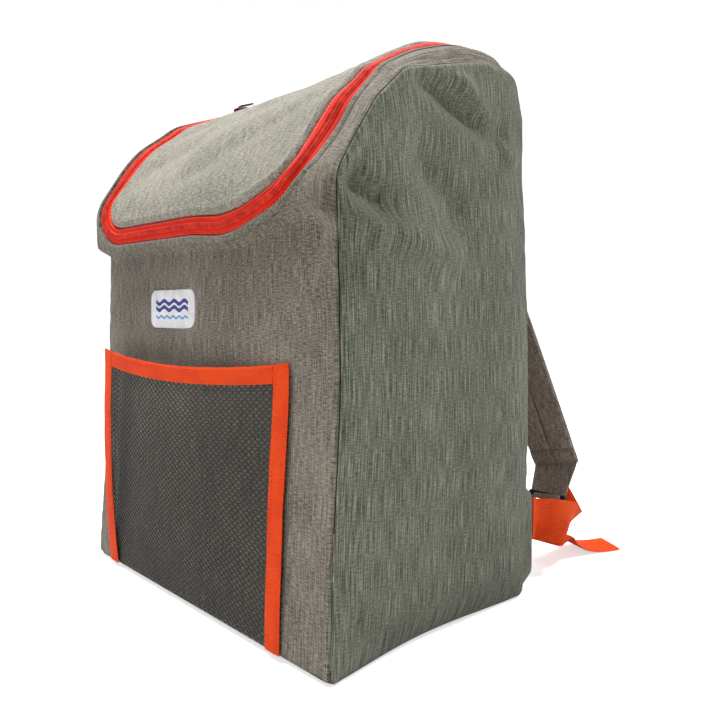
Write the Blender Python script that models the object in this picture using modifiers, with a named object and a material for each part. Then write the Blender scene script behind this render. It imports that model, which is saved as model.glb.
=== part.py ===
"""Cooler backpack with a slanted zip lid, a mesh front pocket and two shoulder straps.

Metres, +Z up. The origin is the centre of the base, on the ground. The front faces -Y,
and +X is on the right for someone who looks at the front. The walls are padded fabric.
A point of the bag's skin is found by its station (the length run along the side profile,
up the front, back over the top and down the back), its place across, and how far it
stands off that profile.
"""

import math

import bmesh
import bpy
import numpy as np

# Body
BODY_WIDTH = 0.300
BODY_DEPTH = 0.185
FRONT_HEIGHT = 0.290
SHOULDER_RISE = 0.0955
WALL = 0.005
BASE_RADIUS = 0.006
SEAM_GAP = 0.0005
CLEARANCE = 0.0003
SIDE_PILLOW = 0.0035
SIDE_PILLOW_RUN = 0.030
BACK_PILLOW = 0.003
SIDE_SWELL = 0.005
FRONT_FLARE = 0.0085
CORNER_SPREAD = 0.006
CORNER_RUN = 0.085
FLARE_HEIGHT = 0.165
FOOT_TUCK = 0.005
FOOT_HEIGHT = 0.030
SETTLE_FADE = 0.020

# Zip opening and lid
LIP_HEIGHT = 0.263
ZIP_INSET = 0.022
ZIP_CORNER_RADIUS = 0.036
ZIP_BACK_MARGIN = 0.032
TAPE_WIDTH = 0.0066
TAPE_THICKNESS = 0.0010
TAPE_SINK = 0.0018
TAPE_PARTING = 0.0005
COIL_WIDTH = 0.0046
COIL_HEIGHT = 0.0020
LID_LIFT = 0.016
LEDGE_RUN = 0.010
SLIDER_PLACE = 0.65
SLIDER_LENGTH = 0.012
SLIDER_WIDTH = 0.0085
SLIDER_HEIGHT = 0.0045
PULL_LENGTH = 0.014
PULL_WIDTH = 0.0065
PULL_THICKNESS = 0.0014
PULL_LEAN = math.radians(5)

# Mesh pocket
POCKET_TOP = 0.177
POCKET_SAG = 0.008
POCKET_RIGHT_INSET = 0.044
POCKET_LEFT_INSET = 0.032
POCKET_GAPE = 0.0135
POCKET_BULGE = 0.0055
NET_THICKNESS = 0.0010
NET_SEAT = 0.0004
BINDING_THICKNESS = 0.0011
SIDE_BINDING_WIDTH = 0.013
TOP_BINDING_WIDTH = 0.010
POCKET_FOOT = 0.0045

# Patch
PATCH_WIDTH = 0.065
PATCH_HEIGHT = 0.029
PATCH_CORNER = 0.007
PATCH_THICKNESS = 0.0012
PATCH_CENTRE_ACROSS = -0.036
PATCH_CENTRE_HEIGHT = 0.2115

# Shoulder straps
STRAP_WIDTH = 0.045
STRAP_THICKNESS = 0.006
STRAP_BOW = 0.080
STRAP_TOP = 0.335
STRAP_JOINT = 0.082
TAB_LENGTH = 0.026
TAB_WIDTH = 0.042
TAB_END_WIDTH = 0.031
TAB_THICKNESS = 0.0028
TAB_LEAN = math.radians(27)
BUCKLE_WIDTH = 0.034
BUCKLE_LENGTH = 0.022
BUCKLE_THICKNESS = 0.0035
BUCKLE_BAR = 0.0036

# Webbing
WEBBING_WIDTH = 0.032
WEBBING_THICKNESS = 0.0015
LOOP_REACH = 0.085
LOOP_INSET = 0.040
LOOP_TOP = 0.070
TAIL_REACH = 0.154
WING_REACH = 0.015
WING_BASE = 0.005
WING_TOP = 0.080
WING_THICKNESS = 0.004
WING_INSET = 0.0035

HALF_WIDTH = BODY_WIDTH / 2
HALF_DEPTH = BODY_DEPTH / 2
BACK = HALF_DEPTH

# Corners of the side profile: shares of the depth, the front's height and the rise above it
SIDE_PROFILE = (
    # name, depth, front, rise, radius
    ("base front", 0.000, 0.0, 0.000, BASE_RADIUS),
    ("kink", 0.000, 1.0, 0.000, 0.030),
    ("slope", 0.176, 1.0, 0.520, 0.060),
    ("knee", 0.318, 1.0, 0.775, 0.020),
    ("crest", 0.720, 1.0, 0.990, 0.120),
    ("back shoulder", 0.945, 1.0, 0.985, 0.014),
    ("back top", 1.000, 1.0, 0.660, 0.040),
    ("base back", 1.000, 0.0, 0.000, BASE_RADIUS),
)

# How far the skin stands off the profile, as shares of LID_LIFT: the band outside the zip
# on the left and on the right, and the lid at its left, middle and right. The place is a
# share of the depth.
SKIN_LIFT = (
    # name, place, band left, band right, lid left, lid middle, lid right
    ("lip", 0.000, 0.80, 0.40, 1.10, 0.75, 0.62),
    ("slope", 0.120, 0.85, -0.12, 0.98, 0.70, 0.44),
    ("knee", 0.300, 0.48, 0.22, 0.56, 0.50, 0.38),
    ("crest", 0.460, 0.86, 0.84, 0.88, 0.72, 0.84),
    ("top", 0.620, 1.02, 1.16, 1.08, 0.98, 1.16),
    ("far top", 0.800, 0.95, 1.14, 0.98, 0.98, 1.12),
    ("back", 0.900, 0.72, 1.00, 0.72, 0.78, 0.94),
    ("back seam", 0.955, 0.00, 0.00, 0.00, 0.00, 0.00),
)

# Folds of a side panel, front to back: both ends as shares of the depth and of the height
SIDE_FOLDS = (
    # name, from depth, from height, to depth, to height, width (m), rise (m)
    ("dent under the kink", 0.02, 0.745, 0.22, 0.705, 0.011, -0.0050),
    ("ridge under that dent", 0.05, 0.700, 0.42, 0.640, 0.014, 0.0030),
    ("valley under the knee", 0.36, 0.925, 0.68, 0.855, 0.012, -0.0042),
    ("ridge behind that valley", 0.58, 0.945, 0.88, 0.810, 0.013, 0.0030),
    ("hollow in the middle", 0.54, 0.800, 0.56, 0.690, 0.018, -0.0022),
    ("swell beside the hollow", 0.38, 0.770, 0.54, 0.620, 0.016, 0.0020),
)

# Furrows of the lid: ends as shares of its half width and of its length
LID_FURROWS = (
    # name, from across, from along, to across, to along, width (m), rise (m)
    ("long furrow", -0.55, 0.26, 0.66, 0.62, 0.013, -0.0026),
    ("low furrow", -0.20, 0.14, 0.72, 0.40, 0.010, -0.0016),
    ("high furrow", -0.60, 0.44, 0.35, 0.68, 0.012, -0.0020),
)

# Centre line of a shoulder strap: shares of the half width, the bow and the strap's drop
STRAP_ROUTE = (
    # name, across, behind, height
    ("anchor", 0.400, 0.060, 1.000),
    ("shoulder", 0.420, 0.095, 0.925),
    ("upper", 0.490, 0.310, 0.790),
    ("middle", 0.590, 0.510, 0.590),
    ("chest", 0.690, 0.675, 0.370),
    ("lower", 0.765, 0.855, 0.165),
    ("joint", 0.823, 1.000, 0.000),
)

# Edges of the webbing loop: shares of LOOP_INSET, of the way from the wing to LOOP_REACH, and
# of LOOP_TOP. It ends on the buckle.
LOOP_SECTIONS = (
    # name, low edge in, behind, height, high edge in, behind, height
    ("anchor", 0.13, 0.013, 0.530, 0.11, 0.013, 0.985),
    ("neck", 0.18, 0.096, 0.520, 0.13, 0.084, 0.970),
    ("valley", 0.42, 0.231, 0.450, 0.26, 0.206, 0.920),
    ("swell", 0.20, 0.426, 0.395, 0.15, 0.426, 0.890),
    ("face", 0.08, 0.597, 0.375, 0.05, 0.621, 0.850),
    ("turn", 0.34, 0.756, 0.420, 0.06, 0.829, 0.785),
    ("curl", 0.84, 0.988, 0.500, 0.18, 1.085, 0.640),
    ("return", 1.12, 1.000, 0.640, 0.60, 1.085, 0.940),
)

# Centre line of the loose tail, from the buckle on: shares of LOOP_INSET, TAIL_REACH and LOOP_TOP, with the
# turn of its width from straight across
TAIL_SECTIONS = (
    # name, in, behind, height, turn (degrees)
    ("dip", 0.71, 0.430, 0.285, 0),
    ("run", 0.75, 0.515, 0.275, 3),
    ("fall", 0.80, 0.623, 0.280, 12),
    ("drop", 0.80, 0.701, 0.157, 20),
    ("landing", 0.72, 0.790, 0.060, 27),
    ("floor", 0.58, 0.890, 0.018, 30),
    ("cut end", 0.40, 1.000, 0.018, 31),
)

ARC_STEPS = 8
TURN_WEIGHT = 0.045
ROWS_UP = 15
ROWS_ALONG = 19

FABRIC = ("polyester canvas", (0.215, 0.210, 0.170), 0.9)
STRAP_FABRIC = ("strap canvas", (0.160, 0.105, 0.080), 0.9)
ORANGE_TAPE = ("orange tape", (0.850, 0.075, 0.005), 0.75)
ORANGE_COIL = ("orange zip coil", (0.800, 0.035, 0.005), 0.45)
MAROON_METAL = ("maroon enamel", (0.120, 0.010, 0.020), 0.35)
BLACK_NET = ("black net", (0.020, 0.020, 0.018), 0.7)
WHITE_PATCH = ("white patch", (0.800, 0.800, 0.820), 0.6)
BLACK_PLASTIC = ("black plastic", (0.020, 0.020, 0.020), 0.45)


def clear_scene():
    """Removes the objects that are in the scene."""
    for old in list(bpy.data.objects):
        bpy.data.objects.remove(old, do_unlink=True)


def new_collection(name):
    """A collection under the scene's own."""
    collection = bpy.data.collections.new(name)
    bpy.context.scene.collection.children.link(collection)
    return collection


def principled(finish):
    """The material of a finish, made once."""
    name, colour, roughness = finish
    material = bpy.data.materials.get(name)
    if material is None:
        material = bpy.data.materials.new(name)
        material.use_nodes = True
        shader = material.node_tree.nodes["Principled BSDF"]
        shader.inputs["Base Color"].default_value = (*colour, 1.0)
        shader.inputs["Roughness"].default_value = roughness
        shader.inputs["Metallic"].default_value = 0.0
    return material


def add_object(name, vertices, faces, finish, collection):
    """An object of its own mesh, faces turned out and shaded smooth."""
    mesh = bpy.data.meshes.new(name)
    mesh.from_pydata([tuple(map(float, vertex)) for vertex in vertices], [], faces)
    working = bmesh.new()
    working.from_mesh(mesh)
    bmesh.ops.recalc_face_normals(working, faces=working.faces)
    working.to_mesh(mesh)
    working.free()
    mesh.shade_smooth()
    mesh.set_sharp_from_angle(angle=math.radians(35))
    if finish is not None:
        mesh.materials.append(principled(finish))
    piece = bpy.data.objects.new(name, mesh)
    collection.objects.link(piece)
    return piece


def grid_faces(rows, columns, first=0):
    """Quads of a grid of points stored row by row."""
    return [
        (first + i * columns + j, first + i * columns + j + 1,
         first + (i + 1) * columns + j + 1, first + (i + 1) * columns + j)
        for i in range(rows - 1)
        for j in range(columns - 1)
    ]


def rim_of(rows, columns):
    """The border of a grid as one closed run of indices."""
    return (
        [j for j in range(columns)]
        + [i * columns + columns - 1 for i in range(1, rows)]
        + [(rows - 1) * columns + j for j in range(columns - 2, -1, -1)]
        + [i * columns for i in range(rows - 2, 0, -1)]
    )


def wall_between(name, outer, inner, finish, collection):
    """A closed wall lofted between two grids of points, each rows x columns x 3."""
    rows, columns = outer.shape[:2]
    count = rows * columns
    rim = rim_of(rows, columns)
    vertices = np.concatenate([outer.reshape(-1, 3), inner.reshape(-1, 3)])
    faces = grid_faces(rows, columns) + [face[::-1] for face in grid_faces(rows, columns, count)]
    for here, there in zip(rim, rim[1:] + rim[:1]):
        faces.append((there, here, here + count, there + count))
    return add_object(name, vertices, faces, finish, collection)


def sheet(name, points, thickness, finish, collection, offset=0.0):
    """A grid of points given a thickness by a Solidify modifier."""
    rows, columns = points.shape[:2]
    piece = add_object(name, points.reshape(-1, 3), grid_faces(rows, columns), finish, collection)
    solid = piece.modifiers.new("thickness", "SOLIDIFY")
    solid.thickness = thickness
    solid.offset = offset
    solid.use_even_offset = True
    return piece


def smooth_steps(low, high, values):
    """0 up to low, 1 from high, and an S between them."""
    share = np.clip((np.asarray(values, float) - low) / (high - low), 0.0, 1.0)
    return share * share * (3 - 2 * share)


def spline_through(points, count):
    """Points spaced evenly along a Catmull-Rom curve through the rows of points."""
    points = np.asarray(points, float)
    padded = np.vstack([2 * points[0] - points[1], points, 2 * points[-1] - points[-2]])
    dense = []
    for i in range(len(points) - 1):
        a, b, c, d = padded[i:i + 4]
        for t in np.linspace(0.0, 1.0, 16, endpoint=i == len(points) - 2):
            dense.append(
                0.5 * (2 * b + (c - a) * t + (2 * a - 5 * b + 4 * c - d) * t**2
                       + (3 * b - 3 * c + d - a) * t**3)
            )
    dense = np.array(dense)
    run = np.concatenate([[0.0], np.cumsum(np.linalg.norm(np.diff(dense, axis=0), axis=1))])
    places = np.linspace(0.0, run[-1], count)
    return np.stack([np.interp(places, run, dense[:, k]) for k in range(points.shape[1])], axis=1)


class Profile:
    """The side seam as a closed line of straights and fillets, run clockwise seen from +X."""

    def __init__(self):
        corners = np.array(
            [(depth * BODY_DEPTH - HALF_DEPTH, front * FRONT_HEIGHT + rise * SHOULDER_RISE)
             for _, depth, front, rise, _ in SIDE_PROFILE]
        )
        samples = []
        count = len(corners)
        for i in [*range(count), 0]:
            before, here, after = corners[i - 1], corners[i], corners[(i + 1) % count]
            into = (here - before) / np.linalg.norm(here - before)
            out = (after - here) / np.linalg.norm(after - here)
            start = math.atan2(into[1], into[0])
            turn = (math.atan2(out[1], out[0]) - start + math.pi) % (2 * math.pi) - math.pi
            half_turn = math.tan(abs(turn) / 2)
            room = 0.45 * min(np.linalg.norm(here - before), np.linalg.norm(after - here))
            radius = min(SIDE_PROFILE[i][4], room / half_turn)
            centre = here - into * radius * half_turn + radius * np.array([into[1], -into[0]])
            for step in range(ARC_STEPS + 1):
                heading = start + turn * step / ARC_STEPS
                spot = centre + radius * np.array([-math.sin(heading), math.cos(heading)])
                samples.append((*spot, heading))
        samples = np.array(samples)
        self.places = samples[:, :2]
        self.headings = np.unwrap(samples[:, 2])
        steps = np.linalg.norm(np.diff(self.places, axis=0), axis=1)
        self.run = np.concatenate([[0.0], np.cumsum(steps)])
        middle = ARC_STEPS // 2
        per = ARC_STEPS + 1
        names = [row[0] for row in SIDE_PROFILE]
        self.base_front = self.run[middle]
        self.back_shoulder = self.run[names.index("back shoulder") * per + middle]
        self.base_back = self.run[names.index("base back") * per + middle]
        self.base_end = self.run[count * per + middle]
        self.kink = self.run[per + middle]
        self.knee = self.run[names.index("knee") * per + middle]

    def at(self, stations):
        """Places (y, z) and outward normals at stations."""
        stations = np.asarray(stations, float)
        y = np.interp(stations, self.run, self.places[:, 0])
        z = np.interp(stations, self.run, self.places[:, 1])
        heading = np.interp(stations, self.run, self.headings)
        return np.stack([y, z], -1), np.stack([-np.sin(heading), np.cos(heading)], -1)

    def spaced(self, start, end, count):
        """Stations from start to end, closer together where the profile turns."""
        fine = np.linspace(start, end, 400)
        turned = np.abs(np.interp(fine, self.run, self.headings) - self.headings[0])
        turned = np.concatenate([[0.0], np.cumsum(np.abs(np.diff(turned)))])
        measure = fine - fine[0] + turned * TURN_WEIGHT
        return np.interp(np.linspace(0.0, measure[-1], count), measure, fine)

    def at_height(self, height):
        """Station of a height on the upright front."""
        upright = slice(ARC_STEPS // 2, ARC_STEPS + 2)
        return float(np.interp(height, self.places[upright, 1], self.run[upright]))

    def at_depth(self, share):
        """Station over the slope and top at a share of the depth."""
        top = slice(ARC_STEPS + 1, 6 * (ARC_STEPS + 1))
        return float(np.interp(share * BODY_DEPTH - HALF_DEPTH, self.places[top, 0], self.run[top]))


PROFILE = Profile()
LIP = PROFILE.at_height(LIP_HEIGHT)
BACK_SEAM = PROFILE.back_shoulder
ZIP_END = PROFILE.at_depth(1.0 - ZIP_BACK_MARGIN / BODY_DEPTH)
FRONT_STATIONS = PROFILE.spaced(PROFILE.base_front, PROFILE.kink, ROWS_UP)
TOP_STATIONS = PROFILE.spaced(PROFILE.kink, BACK_SEAM, ROWS_ALONG)
BACK_STATIONS = PROFILE.spaced(BACK_SEAM, PROFILE.base_back, ROWS_UP)
BASE_STATIONS = PROFILE.spaced(PROFILE.base_back, PROFILE.base_end, ROWS_ALONG)
LIFT_STATIONS = np.array([LIP] + [PROFILE.at_depth(row[1]) for row in SKIN_LIFT[1:-1]] + [BACK_SEAM])


def lift_along(stations, column):
    """A column of SKIN_LIFT at stations, smooth between its rows, in metres."""
    values = np.array([row[column] for row in SKIN_LIFT]) * LID_LIFT
    stations = np.asarray(stations, float)
    blended = sum(np.interp(stations + shift, LIFT_STATIONS, values) for shift in (-0.006, 0.0, 0.006))
    fade = smooth_steps(0.0, 0.012, BACK_SEAM - stations)
    return blended / 3 * fade


def band_lift(stations, across):
    """Stand-off of the fabric outside the zip: none at the side seam, full at the zip."""
    inset = np.clip((HALF_WIDTH - np.abs(across)) / ZIP_INSET, 0.0, 1.0)
    right = 0.5 + across / BODY_WIDTH
    level = lift_along(stations, 2) * (1 - right) + lift_along(stations, 3) * right
    above = smooth_steps(LIP - LEDGE_RUN, LIP + CLEARANCE, stations)
    return level * np.sin(inset * math.pi / 2) ** 0.6 * above


def lid_lift(stations, across):
    """Stand-off of the lid: its edges' level, and a crown between them."""
    stations = np.maximum(stations, LIP)
    left, middle, right = (lift_along(stations, column) for column in (4, 5, 6))
    share = across / HALF_WIDTH
    edges = (left + right) / 2 + (right - left) / 2 * share
    return edges + (middle - (left + right) / 2) * (1 - share**2)


def settle(points):
    """Lets the filled bag swell at its sides and spread at the foot of its front."""
    points = np.array(points, float)
    x, y, z = points[..., 0], points[..., 1], points[..., 2]
    behind = 1 - smooth_steps(0.0, SETTLE_FADE, y - BACK)
    swell = SIDE_SWELL * np.sin(math.pi * np.clip(z / (FRONT_HEIGHT + 0.02), 0, 1))
    front = np.clip((HALF_DEPTH - y) / BODY_DEPTH, 0, 1) ** 2
    low = np.clip(1 - z / FLARE_HEIGHT, 0, 1)
    flare = FRONT_FLARE * front * low
    middle = np.clip(np.cos(math.pi * y / BODY_DEPTH), 0, 1)
    tuck = FOOT_TUCK * middle**2 * np.clip(1 - z / FOOT_HEIGHT, 0, 1) ** 2
    corner = np.clip(1 - (y + HALF_DEPTH) / CORNER_RUN, 0, 1) ** 2 * np.clip(1 - z / CORNER_RUN, 0, 1)
    swell = swell - tuck + CORNER_SPREAD * corner
    points[..., 0] = x + np.clip(x / HALF_WIDTH, -1, 1) * swell * behind
    points[..., 1] = y - flare
    return points


def skin(stations, across, lift):
    """Points of the skin at stations and places across, standing lift off the profile."""
    stations, across, lift = np.broadcast_arrays(stations, across, lift)
    place, normal = PROFILE.at(stations)
    flat = place + normal * lift[..., None]
    return settle(np.stack([across, flat[..., 0], flat[..., 1]], -1))


def fold_relief(first, second, folds, first_size, second_size):
    """Sum of soft ridges and dents, each a rounded bar between two ends."""
    relief = np.zeros(np.broadcast(first, second).shape)
    for _, from_first, from_second, to_first, to_second, width, rise in folds:
        start = np.array([from_first * first_size, from_second * second_size])
        end = np.array([to_first * first_size, to_second * second_size])
        along = end - start
        share = ((first - start[0]) * along[0] + (second - start[1]) * along[1]) / (along @ along)
        share = np.clip(share, 0.0, 1.0)
        away = np.hypot(first - start[0] - share * along[0], second - start[1] - share * along[1])
        relief = relief + rise * np.exp(-((away / width) ** 2))
    return relief


def side_surface(depth):
    """A side panel's grid, depth under its skin: a patch between the four runs of the profile."""

    def run(stations):
        place, normal = PROFILE.at(stations)
        return place - normal * (depth + SEAM_GAP / 2)

    def shares(stations):
        return (stations - stations[0]) / (stations[-1] - stations[0])

    front, top, back, base = (
        run(stations) for stations in
        (FRONT_STATIONS, TOP_STATIONS, BACK_STATIONS[::-1], BASE_STATIONS[::-1])
    )
    u = ((shares(TOP_STATIONS) + 1 - shares(BASE_STATIONS)[::-1]) / 2)[None, :, None]
    v = ((shares(FRONT_STATIONS) + 1 - shares(BACK_STATIONS)[::-1]) / 2)[:, None, None]
    return (
        (1 - u) * front[:, None] + u * back[:, None] + (1 - v) * base[None] + v * top[None]
        - (1 - u) * (1 - v) * base[0] - u * (1 - v) * base[-1]
        - (1 - u) * v * top[0] - u * v * top[-1]
    )


def side_panel(name, side, collection):
    """A side panel, mitred to the strip of front, top, back and base round its edge."""
    height = FRONT_HEIGHT + SHOULDER_RISE
    flat = side_surface(0.0)
    rim = np.concatenate([flat[0], flat[1:, -1], flat[-1, :-1], flat[1:-1, 0]])
    near_edge = np.min(np.linalg.norm(flat[:, :, None] - rim, axis=-1), axis=-1)
    pillow = SIDE_PILLOW * np.sin(np.clip(near_edge / SIDE_PILLOW_RUN, 0, 1) * math.pi / 2)
    folds = fold_relief(flat[..., 0] + HALF_DEPTH, flat[..., 1], SIDE_FOLDS, BODY_DEPTH, height)
    relief = pillow + folds * smooth_steps(0.0, 0.016, near_edge)
    layers = []
    for depth in (0.0, WALL):
        flat = side_surface(depth)
        across = side * (HALF_WIDTH - depth + relief)
        layers.append(settle(np.stack([across, flat[..., 0], flat[..., 1]], -1)))
    return wall_between(name, layers[0], layers[1], FABRIC, collection)


def strip_panel(name, stations, shares, lift, finish, collection):
    """A padded strip that follows the profile across the bag, mitred to both side panels."""
    s, a = np.meshgrid(stations, shares, indexing="ij")
    layers = []
    for depth in (0.0, WALL):
        across = a * (HALF_WIDTH - SEAM_GAP / 2 - depth)
        layers.append(skin(s, across, lift(s, a * HALF_WIDTH) - depth))
    return wall_between(name, layers[0], layers[1], finish, collection)


def stations_between(start, end, spacing):
    """Stations from start to end: the profile's own samples, thinned, with long runs divided."""
    own = PROFILE.run[(PROFILE.run > start + spacing * 0.3) & (PROFILE.run < end - spacing * 0.3)]
    kept = [start]
    for station in [*own, end]:
        last = kept[-1]
        if station - last < spacing * 0.45 and station != end:
            continue
        pieces = max(1, round((station - last) / spacing))
        kept.extend(np.linspace(last, station, pieces + 1)[1:])
    return np.array(kept)


def zip_line(offset, reach=0.0):
    """The zip's U in (across, station), offset inward from its outer edge, from the left end
    forward, round the front and back to the right end."""
    side = HALF_WIDTH - ZIP_INSET - offset
    front = LIP + offset
    radius = ZIP_CORNER_RADIUS - offset
    end = ZIP_END + reach
    arm = stations_between(LIP + ZIP_CORNER_RADIUS, end, 0.011)
    turns = np.linspace(0.0, math.pi / 2, ARC_STEPS + 1)[1:-1]
    corner = np.stack(
        [side - radius + radius * np.cos(turns), front + radius - radius * np.sin(turns)], -1
    )
    right_arm = np.stack([np.full(len(arm), side), arm], -1)
    across = np.linspace(-(side - radius), side - radius, 11)
    bottom = np.stack([across, np.full(len(across), front)], -1)
    mirror = np.array([-1.0, 1.0])
    return np.concatenate(
        [right_arm[::-1] * mirror, corner * mirror, bottom, corner[::-1], right_arm]
    )


def zip_lift(line, offset):
    """Stand-off of the zip at an offset: from the band's level up to the lid's edge."""
    outer = zip_line(0.0)
    share = np.clip(offset / (2 * TAPE_WIDTH + TAPE_PARTING), 0.0, 1.0)
    return (1 - share) * band_lift(outer[:, 1], outer[:, 0]) + share * lid_lift(line[:, 1], line[:, 0])


def zip_strip(name, offsets, top, bottom, finish, collection):
    """A closed strip that follows the zip between offsets, with a top and an underside level."""
    upper, lower = [], []
    for offset, high, low in zip(offsets, top, bottom):
        line = zip_line(offset)
        lift = zip_lift(line, offset)
        upper.append(skin(line[:, 1], line[:, 0], lift + high))
        lower.append(skin(line[:, 1], line[:, 0], lift + low))
    return wall_between(name, np.array(upper), np.array(lower), finish, collection)


def zip_tapes(collection):
    """The two halves of the zip tape, a little under the skin on both sides."""
    outer = (CLEARANCE, TAPE_WIDTH)
    inner = (TAPE_WIDTH + TAPE_PARTING, 2 * TAPE_WIDTH + TAPE_PARTING - CLEARANCE)
    for name, offsets in (("zip_tape_outer", outer), ("zip_tape_inner", inner)):
        zip_strip(name, offsets, [-TAPE_SINK] * 2, [-TAPE_SINK - TAPE_THICKNESS] * 2, ORANGE_TAPE, collection)


def zip_coil(collection):
    """The closed row of coils, a rounded bead over the parting of the tapes."""
    middle = TAPE_WIDTH + TAPE_PARTING / 2
    offsets = middle + COIL_WIDTH * np.array([-0.5, 0.0, 0.5])
    floor = -TAPE_SINK + CLEARANCE
    top = floor + COIL_HEIGHT * np.array([0.5, 1.0, 0.5])
    return zip_strip("zip_coil", offsets, top, [floor] * 3, ORANGE_COIL, collection)


def front_panel(collection, cutters):
    """The front, with its two arms beside the lid up to the back seam."""
    shared = np.concatenate([FRONT_STATIONS, TOP_STATIONS[1:]])
    ledge = [x for x in LIP - LEDGE_RUN * np.array([1.0, 0.5, 0.0]) if np.abs(shared - x).min() > 0.003]
    stations = np.sort(np.concatenate([shared, ledge]))
    stations[[0, -1]] += np.array([SEAM_GAP, -SEAM_GAP]) / 2
    inset = ZIP_INSET / HALF_WIDTH
    right = np.array([1.0, 1 - 0.2 * inset, 1 - 0.55 * inset, 1 - inset * 1.05, 0.45])
    shares = np.concatenate([-right, [0.0], right[::-1]])
    panel = strip_panel("front_panel", stations, shares, band_lift, FABRIC, collection)
    cutter = lid_cutter(cutters)
    cut = panel.modifiers.new("lid opening", "BOOLEAN")
    cut.operation = "DIFFERENCE"
    cut.solver = "EXACT"
    cut.object = cutter
    return panel


def lid_cutter(cutters):
    """The lid opening as a block through the skin, out past the back seam."""
    line = zip_line(0.0, BACK_SEAM - ZIP_END + 2 * WALL)
    right = line[len(line) // 2:][::-1]
    right = right[:np.argmax(right[:, 1] <= LIP + SEAM_GAP / 10) + 1]
    across = right[:, :1] * np.linspace(-1.0, 1.0, 5)
    stations = np.broadcast_to(right[:, 1:], across.shape)
    upper = skin(stations, across, 1.2 * LID_LIFT + WALL)
    lower = skin(stations, across, -2 * WALL)
    cutter = wall_between("lid_opening", upper, lower, None, cutters)
    cutter.display_type = "WIRE"
    cutter.hide_render = True
    return cutter


def lid_panel(collection):
    """The lid: inside the zip as far as its ends, then as wide as the opening to the back seam."""
    edge = 2 * TAPE_WIDTH + TAPE_PARTING + CLEARANCE
    half = HALF_WIDTH - ZIP_INSET - edge
    radius = ZIP_CORNER_RADIUS - edge
    turns = np.linspace(0.0, math.pi / 2, ARC_STEPS + 1)
    corner_stations = LIP + edge + radius * (1 - np.cos(turns))
    corner_half = half - radius + radius * np.sin(turns)
    run = stations_between(corner_stations[-1], ZIP_END + CLEARANCE, 0.012)[1:]
    tail = stations_between(ZIP_END + 4 * CLEARANCE, BACK_SEAM - SEAM_GAP / 2, 0.012)
    stations = np.concatenate([corner_stations, run, tail])
    wide = HALF_WIDTH - ZIP_INSET - 2 * CLEARANCE
    halves = np.concatenate([corner_half, np.full(len(run), half), np.full(len(tail), wide)])
    shares = np.array([-1.0, -0.92, -0.70, -0.42, -0.14, 0.14, 0.42, 0.70, 0.92, 1.0])
    across = halves[:, None] * shares
    s = np.broadcast_to(stations[:, None], across.shape)
    furrows = fold_relief(across, s - LIP, LID_FURROWS, HALF_WIDTH, BACK_SEAM - LIP)
    lift = lid_lift(s, across) + furrows * smooth_steps(0, 0.25, 1 - np.abs(shares))
    tail = smooth_steps(ZIP_END - 0.010, ZIP_END + 0.004, s) * shares**4
    lift = lift * (1 - tail) + band_lift(s, across) * tail
    return wall_between("lid_panel", skin(s, across, lift), skin(s, across, lift - WALL), FABRIC, collection)


def back_panel(collection):
    """The back, softly padded between its seams."""
    stations = BACK_STATIONS.copy()
    stations[[0, -1]] += np.array([SEAM_GAP, -SEAM_GAP]) / 2
    start, end = stations[0], stations[-1]
    shares = np.array([-1.0, -0.92, -0.7, -0.25, 0.25, 0.7, 0.92, 1.0])

    def lift(s, across):
        up = np.clip(np.minimum(s - start, end - s) / 0.05, 0, 1)
        wide = np.clip((HALF_WIDTH - np.abs(across)) / 0.05, 0, 1)
        return BACK_PILLOW * np.sin(up * math.pi / 2) * np.sin(wide * math.pi / 2)

    return strip_panel("back_panel", stations, shares, lift, FABRIC, collection)


def base_panel(collection):
    """The flat base, turned up at its front and back edges."""
    stations = BASE_STATIONS.copy()
    stations[[0, -1]] += np.array([SEAM_GAP, -SEAM_GAP]) / 2
    shares = np.array([-1.0, 0.0, 1.0])
    return strip_panel("base_panel", stations, shares, lambda s, a: np.zeros(s.shape), FABRIC, collection)


def skin_frame(station, across, lift):
    """Origin and unit axes (along the station, across, outward) of a spot on the skin."""
    step = 1e-4
    here = skin(station, across, lift)
    along = skin(station + step, across, lift) - here
    along = along / np.linalg.norm(along)
    out = np.cross(np.array([1.0, 0.0, 0.0]), along)
    if PROFILE.at(station)[1] @ out[1:] < 0:
        out = -out
    out = out / np.linalg.norm(out)
    return here, np.stack([along, np.cross(out, along), out], 1)


def place_box(name, size, centre, axes, bevel, finish, collection):
    """A cube primitive given its size, place and axes, with rounded edges."""
    mesh = bpy.data.meshes.new(name)
    working = bmesh.new()
    bmesh.ops.create_cube(working, size=1.0)
    for vertex in working.verts:
        local = np.array(vertex.co) * np.array(size)
        vertex.co = centre + axes @ local
    working.normal_update()
    bmesh.ops.recalc_face_normals(working, faces=working.faces)
    working.to_mesh(mesh)
    working.free()
    mesh.materials.append(principled(finish))
    piece = bpy.data.objects.new(name, mesh)
    collection.objects.link(piece)
    rounding = piece.modifiers.new("rounding", "BEVEL")
    rounding.width = bevel
    rounding.segments = 2
    return piece


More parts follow.
